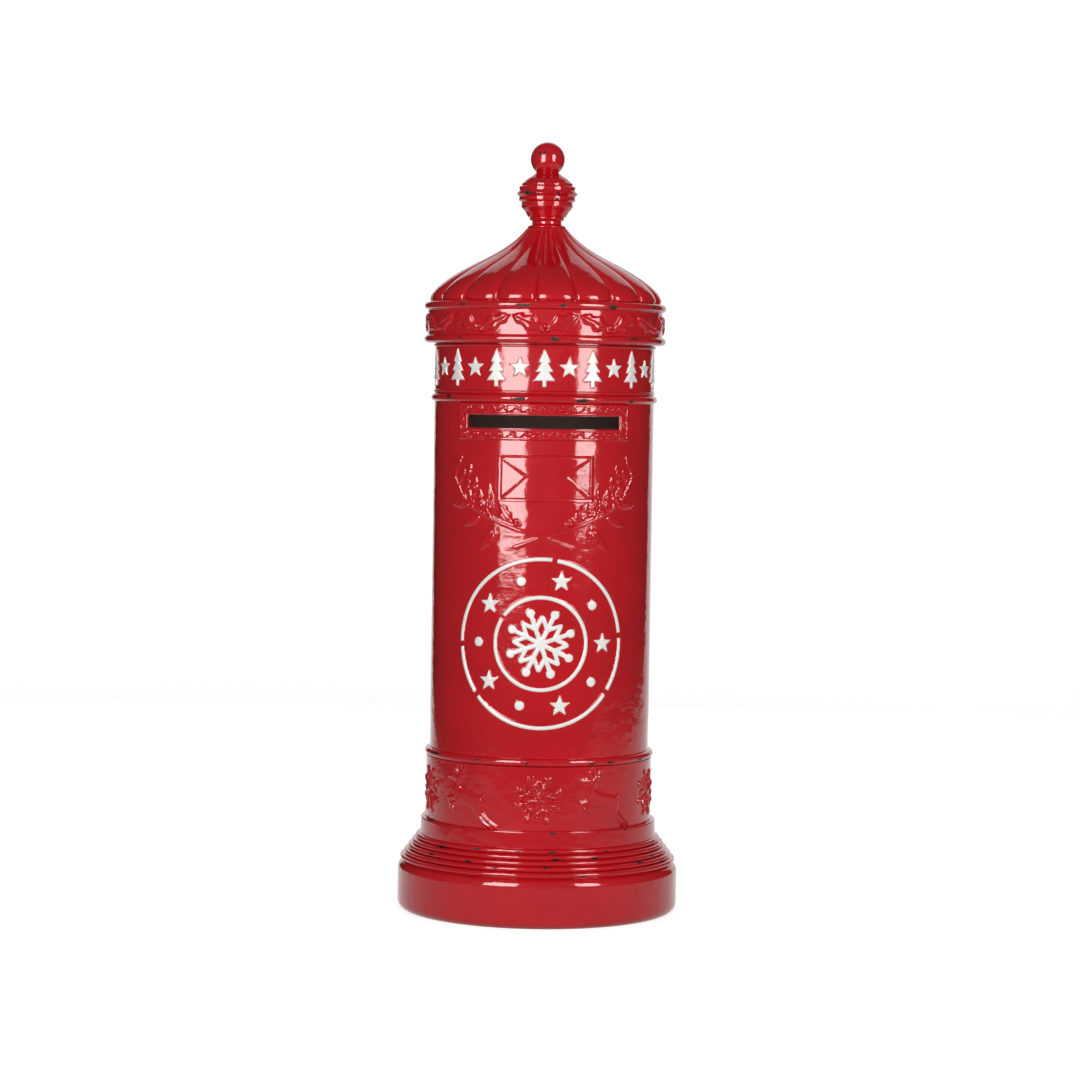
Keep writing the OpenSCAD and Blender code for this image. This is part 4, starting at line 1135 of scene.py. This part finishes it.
def turned_solid(name, path, angles):
    """A solid turning: its section starts and ends on the axis, where the columns meet in one
    point each."""
    ring = path[1:-1]
    rows, columns = len(ring), len(angles)
    degrees, radius, height = (np.broadcast_to(values, (rows, columns))
                               for values in (angles, ring[:, :1], ring[:, 1:]))
    a = np.radians(degrees)
    grid = np.stack([radius * np.sin(a), -radius * np.cos(a), height], axis=2).reshape(-1, 3)
    poles = np.array([[0, 0, path[0, 1]], [0, 0, path[-1, 1]]])
    index = np.arange(rows * columns).reshape(rows, columns)
    across = np.roll(index, -1, axis=1)
    quads = np.stack([index[:-1], across[:-1], across[1:], index[1:]], axis=2).reshape(-1, 4)
    low, high = rows * columns, rows * columns + 1
    foot = np.stack([across[0], index[0], np.full(columns, low), np.full(columns, low)], axis=1)
    head = np.stack([index[-1], across[-1], np.full(columns, high), np.full(columns, high)], axis=1)
    fields = blank_fields(rows * columns + 2, 1.0)
    fields["chip"][:rows * columns] = chip_distance(degrees, height, radius).ravel()
    return make_object(name, np.concatenate([grid, poles]), np.concatenate([quads, foot, head]), fields, 28)


# Operators

class OBJECT_OT_letter_box_stage(bpy.types.Operator):
    """Sets the pale floor, the soft lamps and the camera"""

    bl_idname = "object.letter_box_stage"
    bl_label = "Stage"

    def execute(self, context):
        make_floor()
        make_lamps()
        make_camera()
        context.scene.view_settings.view_transform = "Standard"
        return {"FINISHED"}


class OBJECT_OT_letter_box_casting(bpy.types.Operator):
    """Makes the pillar with its plinth, friezes, slot and bands"""

    bl_idname = "object.letter_box_casting"
    bl_label = "Pillar casting"

    def execute(self, context):
        sizes = context.scene.letter_box_sizes
        for piece in (*make_plinth(sizes), make_foot_bead(), *make_shaft(sizes), make_door_surround(),
                      make_neck(sizes)):
            dress(piece, "body_casting")
        return {"FINISHED"}


class OBJECT_OT_letter_box_lid(bpy.types.Operator):
    """Makes the lid with its holly rim and lobed dome, and the finial"""

    bl_idname = "object.letter_box_lid"
    bl_label = "Lid and finial"

    def execute(self, context):
        for piece in make_lid(context.scene.letter_box_sizes):
            dress(piece, "lid_casting")
        dress(make_finial(), "finial")
        return {"FINISHED"}


class OBJECT_OT_letter_box_fittings(bpy.types.Operator):
    """Gives the door, hinges, catch, board and fasteners their finishes"""

    bl_idname = "object.letter_box_fittings"
    bl_label = "Fittings"

    def execute(self, context):
        finishes = {"red_enamel": "door", "brass_hinge": "hinge", "zinc_steel": "zinc",
                    "catch_nylon": "nylon", "ferrite": "ferrite", "plywood": "board", "black_knob": "knob"}
        slots = {part["node"]: part["material_slot"] for part in frame["record"]["subparts"]}
        for name, node in frame["nodes"].items():
            if node.hide_render:
                continue
            for place in node.material_slots:
                place.material = material_for(finishes[slots[name]])
        return {"FINISHED"}


class VIEW3D_PT_letter_box(bpy.types.Panel):
    """Lists the letter box's steps and their settings"""

    bl_label = "Letter box"
    bl_space_type = "VIEW_3D"
    bl_region_type = "UI"
    bl_category = "Letter box"

    def draw(self, context):
        for step in STEPS:
            self.layout.operator(step.bl_idname)
        for group in (context.scene.letter_box_sizes, context.scene.letter_box_finish):
            for key in group.__annotations__:
                self.layout.prop(group, key)


# Stage

CAMERA_DISTANCE = 4200.0
CAMERA_HEIGHT = 690.0
FOCAL_PIXELS = 3218.0
PHOTO_PIXELS = 1080.0
SENSOR = 36.0
CAMERA_ROLL = 0.87
CAMERA_PITCH = 2.821
CAMERA_YAW = 0.036
PAPER_FRONT = -1150
PAPER_SIDES = (-1400, 2200)
PAPER_GLOW = 0.78
ROOM_LEVEL = 0.42


def make_floor():
    """A sheet of white paper that turns up behind the object. The camera and the reflections
    see it white, and it keeps the shadow."""
    turn = np.linspace(0, np.pi / 2, 25)
    curve = np.stack([2500 + 900 * np.sin(turn), 900 - 900 * np.cos(turn)], axis=1)
    profile = np.concatenate([[(PAPER_FRONT, 0)], curve, [(3400, 5200)]])
    vertices = np.array([(x, y, z) for x in PAPER_SIDES for y, z in profile])
    n = len(profile)
    floor = make_object("floor", vertices, [(i, n + i, n + i + 1, i + 1) for i in range(n - 1)])
    material, tree, shader, where = new_material("white_paper")
    fibre = noise(tree, where, 0.8, 2)
    path = add_node(tree, "ShaderNodeLightPath").outputs
    seen = greater(tree, path["Is Camera Ray"], path["Is Glossy Ray"])
    seen = greater(tree, seen, path["Is Transmission Ray"])
    feed(tree, shader, "Base Color", mixed(tree, fibre, linear("#B9B9B8"), linear("#BFBFBE")))
    feed(tree, shader, "Roughness", 0.9)
    feed(tree, shader, "Specular IOR Level", 0.0)
    feed(tree, shader, "Emission Color", (1, 1, 1, 1))
    feed(tree, shader, "Emission Strength", times(tree, seen, PAPER_GLOW))
    floor.data.materials.append(material)


def area_lamp(name, azimuth, distance, heights, width, radiance, reflected=True):
    """A softbox that faces the object: its place by azimuth from the front, and its level by
    radiance, where 1 is white."""
    low, high = heights
    lamp = bpy.data.lights.new(name, "AREA")
    lamp.shape = "RECTANGLE"
    lamp.size, lamp.size_y = width, high - low
    lamp.energy = 4 * radiance * lamp.size * lamp.size_y
    obj = link_object(name, lamp)
    a = math.radians(azimuth)
    obj.location = (distance * math.sin(a), -distance * math.cos(a), (low + high) / 2)
    obj.rotation_euler = (math.radians(90), 0, a)
    obj.visible_glossy = reflected
    obj.visible_camera = False
    return obj


def make_lamps():
    """Two tall softboxes that the enamel mirrors, broad fills that it doesn't, and a room that
    fades from the front to nearly dark behind."""
    left = area_lamp("softbox_left", -30, 1.75, (0.37, 1.9), 0.82, 18)
    right = area_lamp("softbox_right", 43, 1.75, (0.48, 1.9), 0.6, 17)
    for lamp in (left, right):
        lamp.visible_diffuse = False
    area_lamp("fill_front", 2, 4.6, (0.2, 2.4), 2.6, 7, False)
    area_lamp("fill_back", 180, 2.6, (0.8, 2.4), 2.4, 3, False)
    world = bpy.data.worlds.new("studio")
    bpy.context.scene.world = world
    world.use_nodes = True
    tree = world.node_tree
    direction = add_node(tree, "ShaderNodeTexCoord").outputs["Generated"]
    facing = add_node(tree, "ShaderNodeVectorMath", {1: (0, -1, 0)}, {0: direction},
                      operation="DOT_PRODUCT")
    fade = {"From Min": -0.97, "From Max": 0.45, "To Max": ROOM_LEVEL}
    level = add_node(tree, "ShaderNodeMapRange", fade, {"Value": facing.outputs["Value"]})
    background = tree.nodes["Background"]
    feed(tree, background, "Strength", level.outputs["Result"])
    feed(tree, background, "Color", (1, 1, 1, 1))


def make_camera():
    """The photograph's view: from the front, a little over half the height, slightly rolled."""
    camera = bpy.data.cameras.new("camera")
    camera.sensor_width = SENSOR
    camera.lens = FOCAL_PIXELS / PHOTO_PIXELS * SENSOR
    camera.clip_end = 50
    obj = link_object("camera", camera)
    obj.location = (0, -CAMERA_DISTANCE * MM, CAMERA_HEIGHT * MM)
    tilt = Matrix.Rotation(math.radians(90 - CAMERA_PITCH), 3, "X")
    roll = Matrix.Rotation(math.radians(CAMERA_ROLL), 3, "Z")
    obj.rotation_euler = (Matrix.Rotation(math.radians(CAMERA_YAW), 3, "Z") @ tilt @ roll).to_euler()
    bpy.context.scene.camera = obj


STEPS = [OBJECT_OT_letter_box_stage, OBJECT_OT_letter_box_casting, OBJECT_OT_letter_box_lid,
         OBJECT_OT_letter_box_fittings]
CLASSES = [LetterBoxFinish, LetterBoxSizes, *STEPS, VIEW3D_PT_letter_box]


def register():
    for cls in CLASSES:
        bpy.utils.register_class(cls)
    bpy.types.Scene.letter_box_finish = PointerProperty(type=LetterBoxFinish)
    bpy.types.Scene.letter_box_sizes = PointerProperty(type=LetterBoxSizes)


def unregister():
    del bpy.types.Scene.letter_box_sizes
    del bpy.types.Scene.letter_box_finish
    for cls in reversed(CLASSES):
        bpy.utils.unregister_class(cls)


def corners(box):
    return [[float(c) for c in corner] for corner in box]


def main():
    """Registers the add-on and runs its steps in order."""
    register()
    bpy.ops.object.letter_box_stage()
    bpy.ops.object.letter_box_casting()
    bpy.ops.object.letter_box_lid()
    bpy.ops.object.letter_box_fittings()


if __name__ == "__main__":
    main()
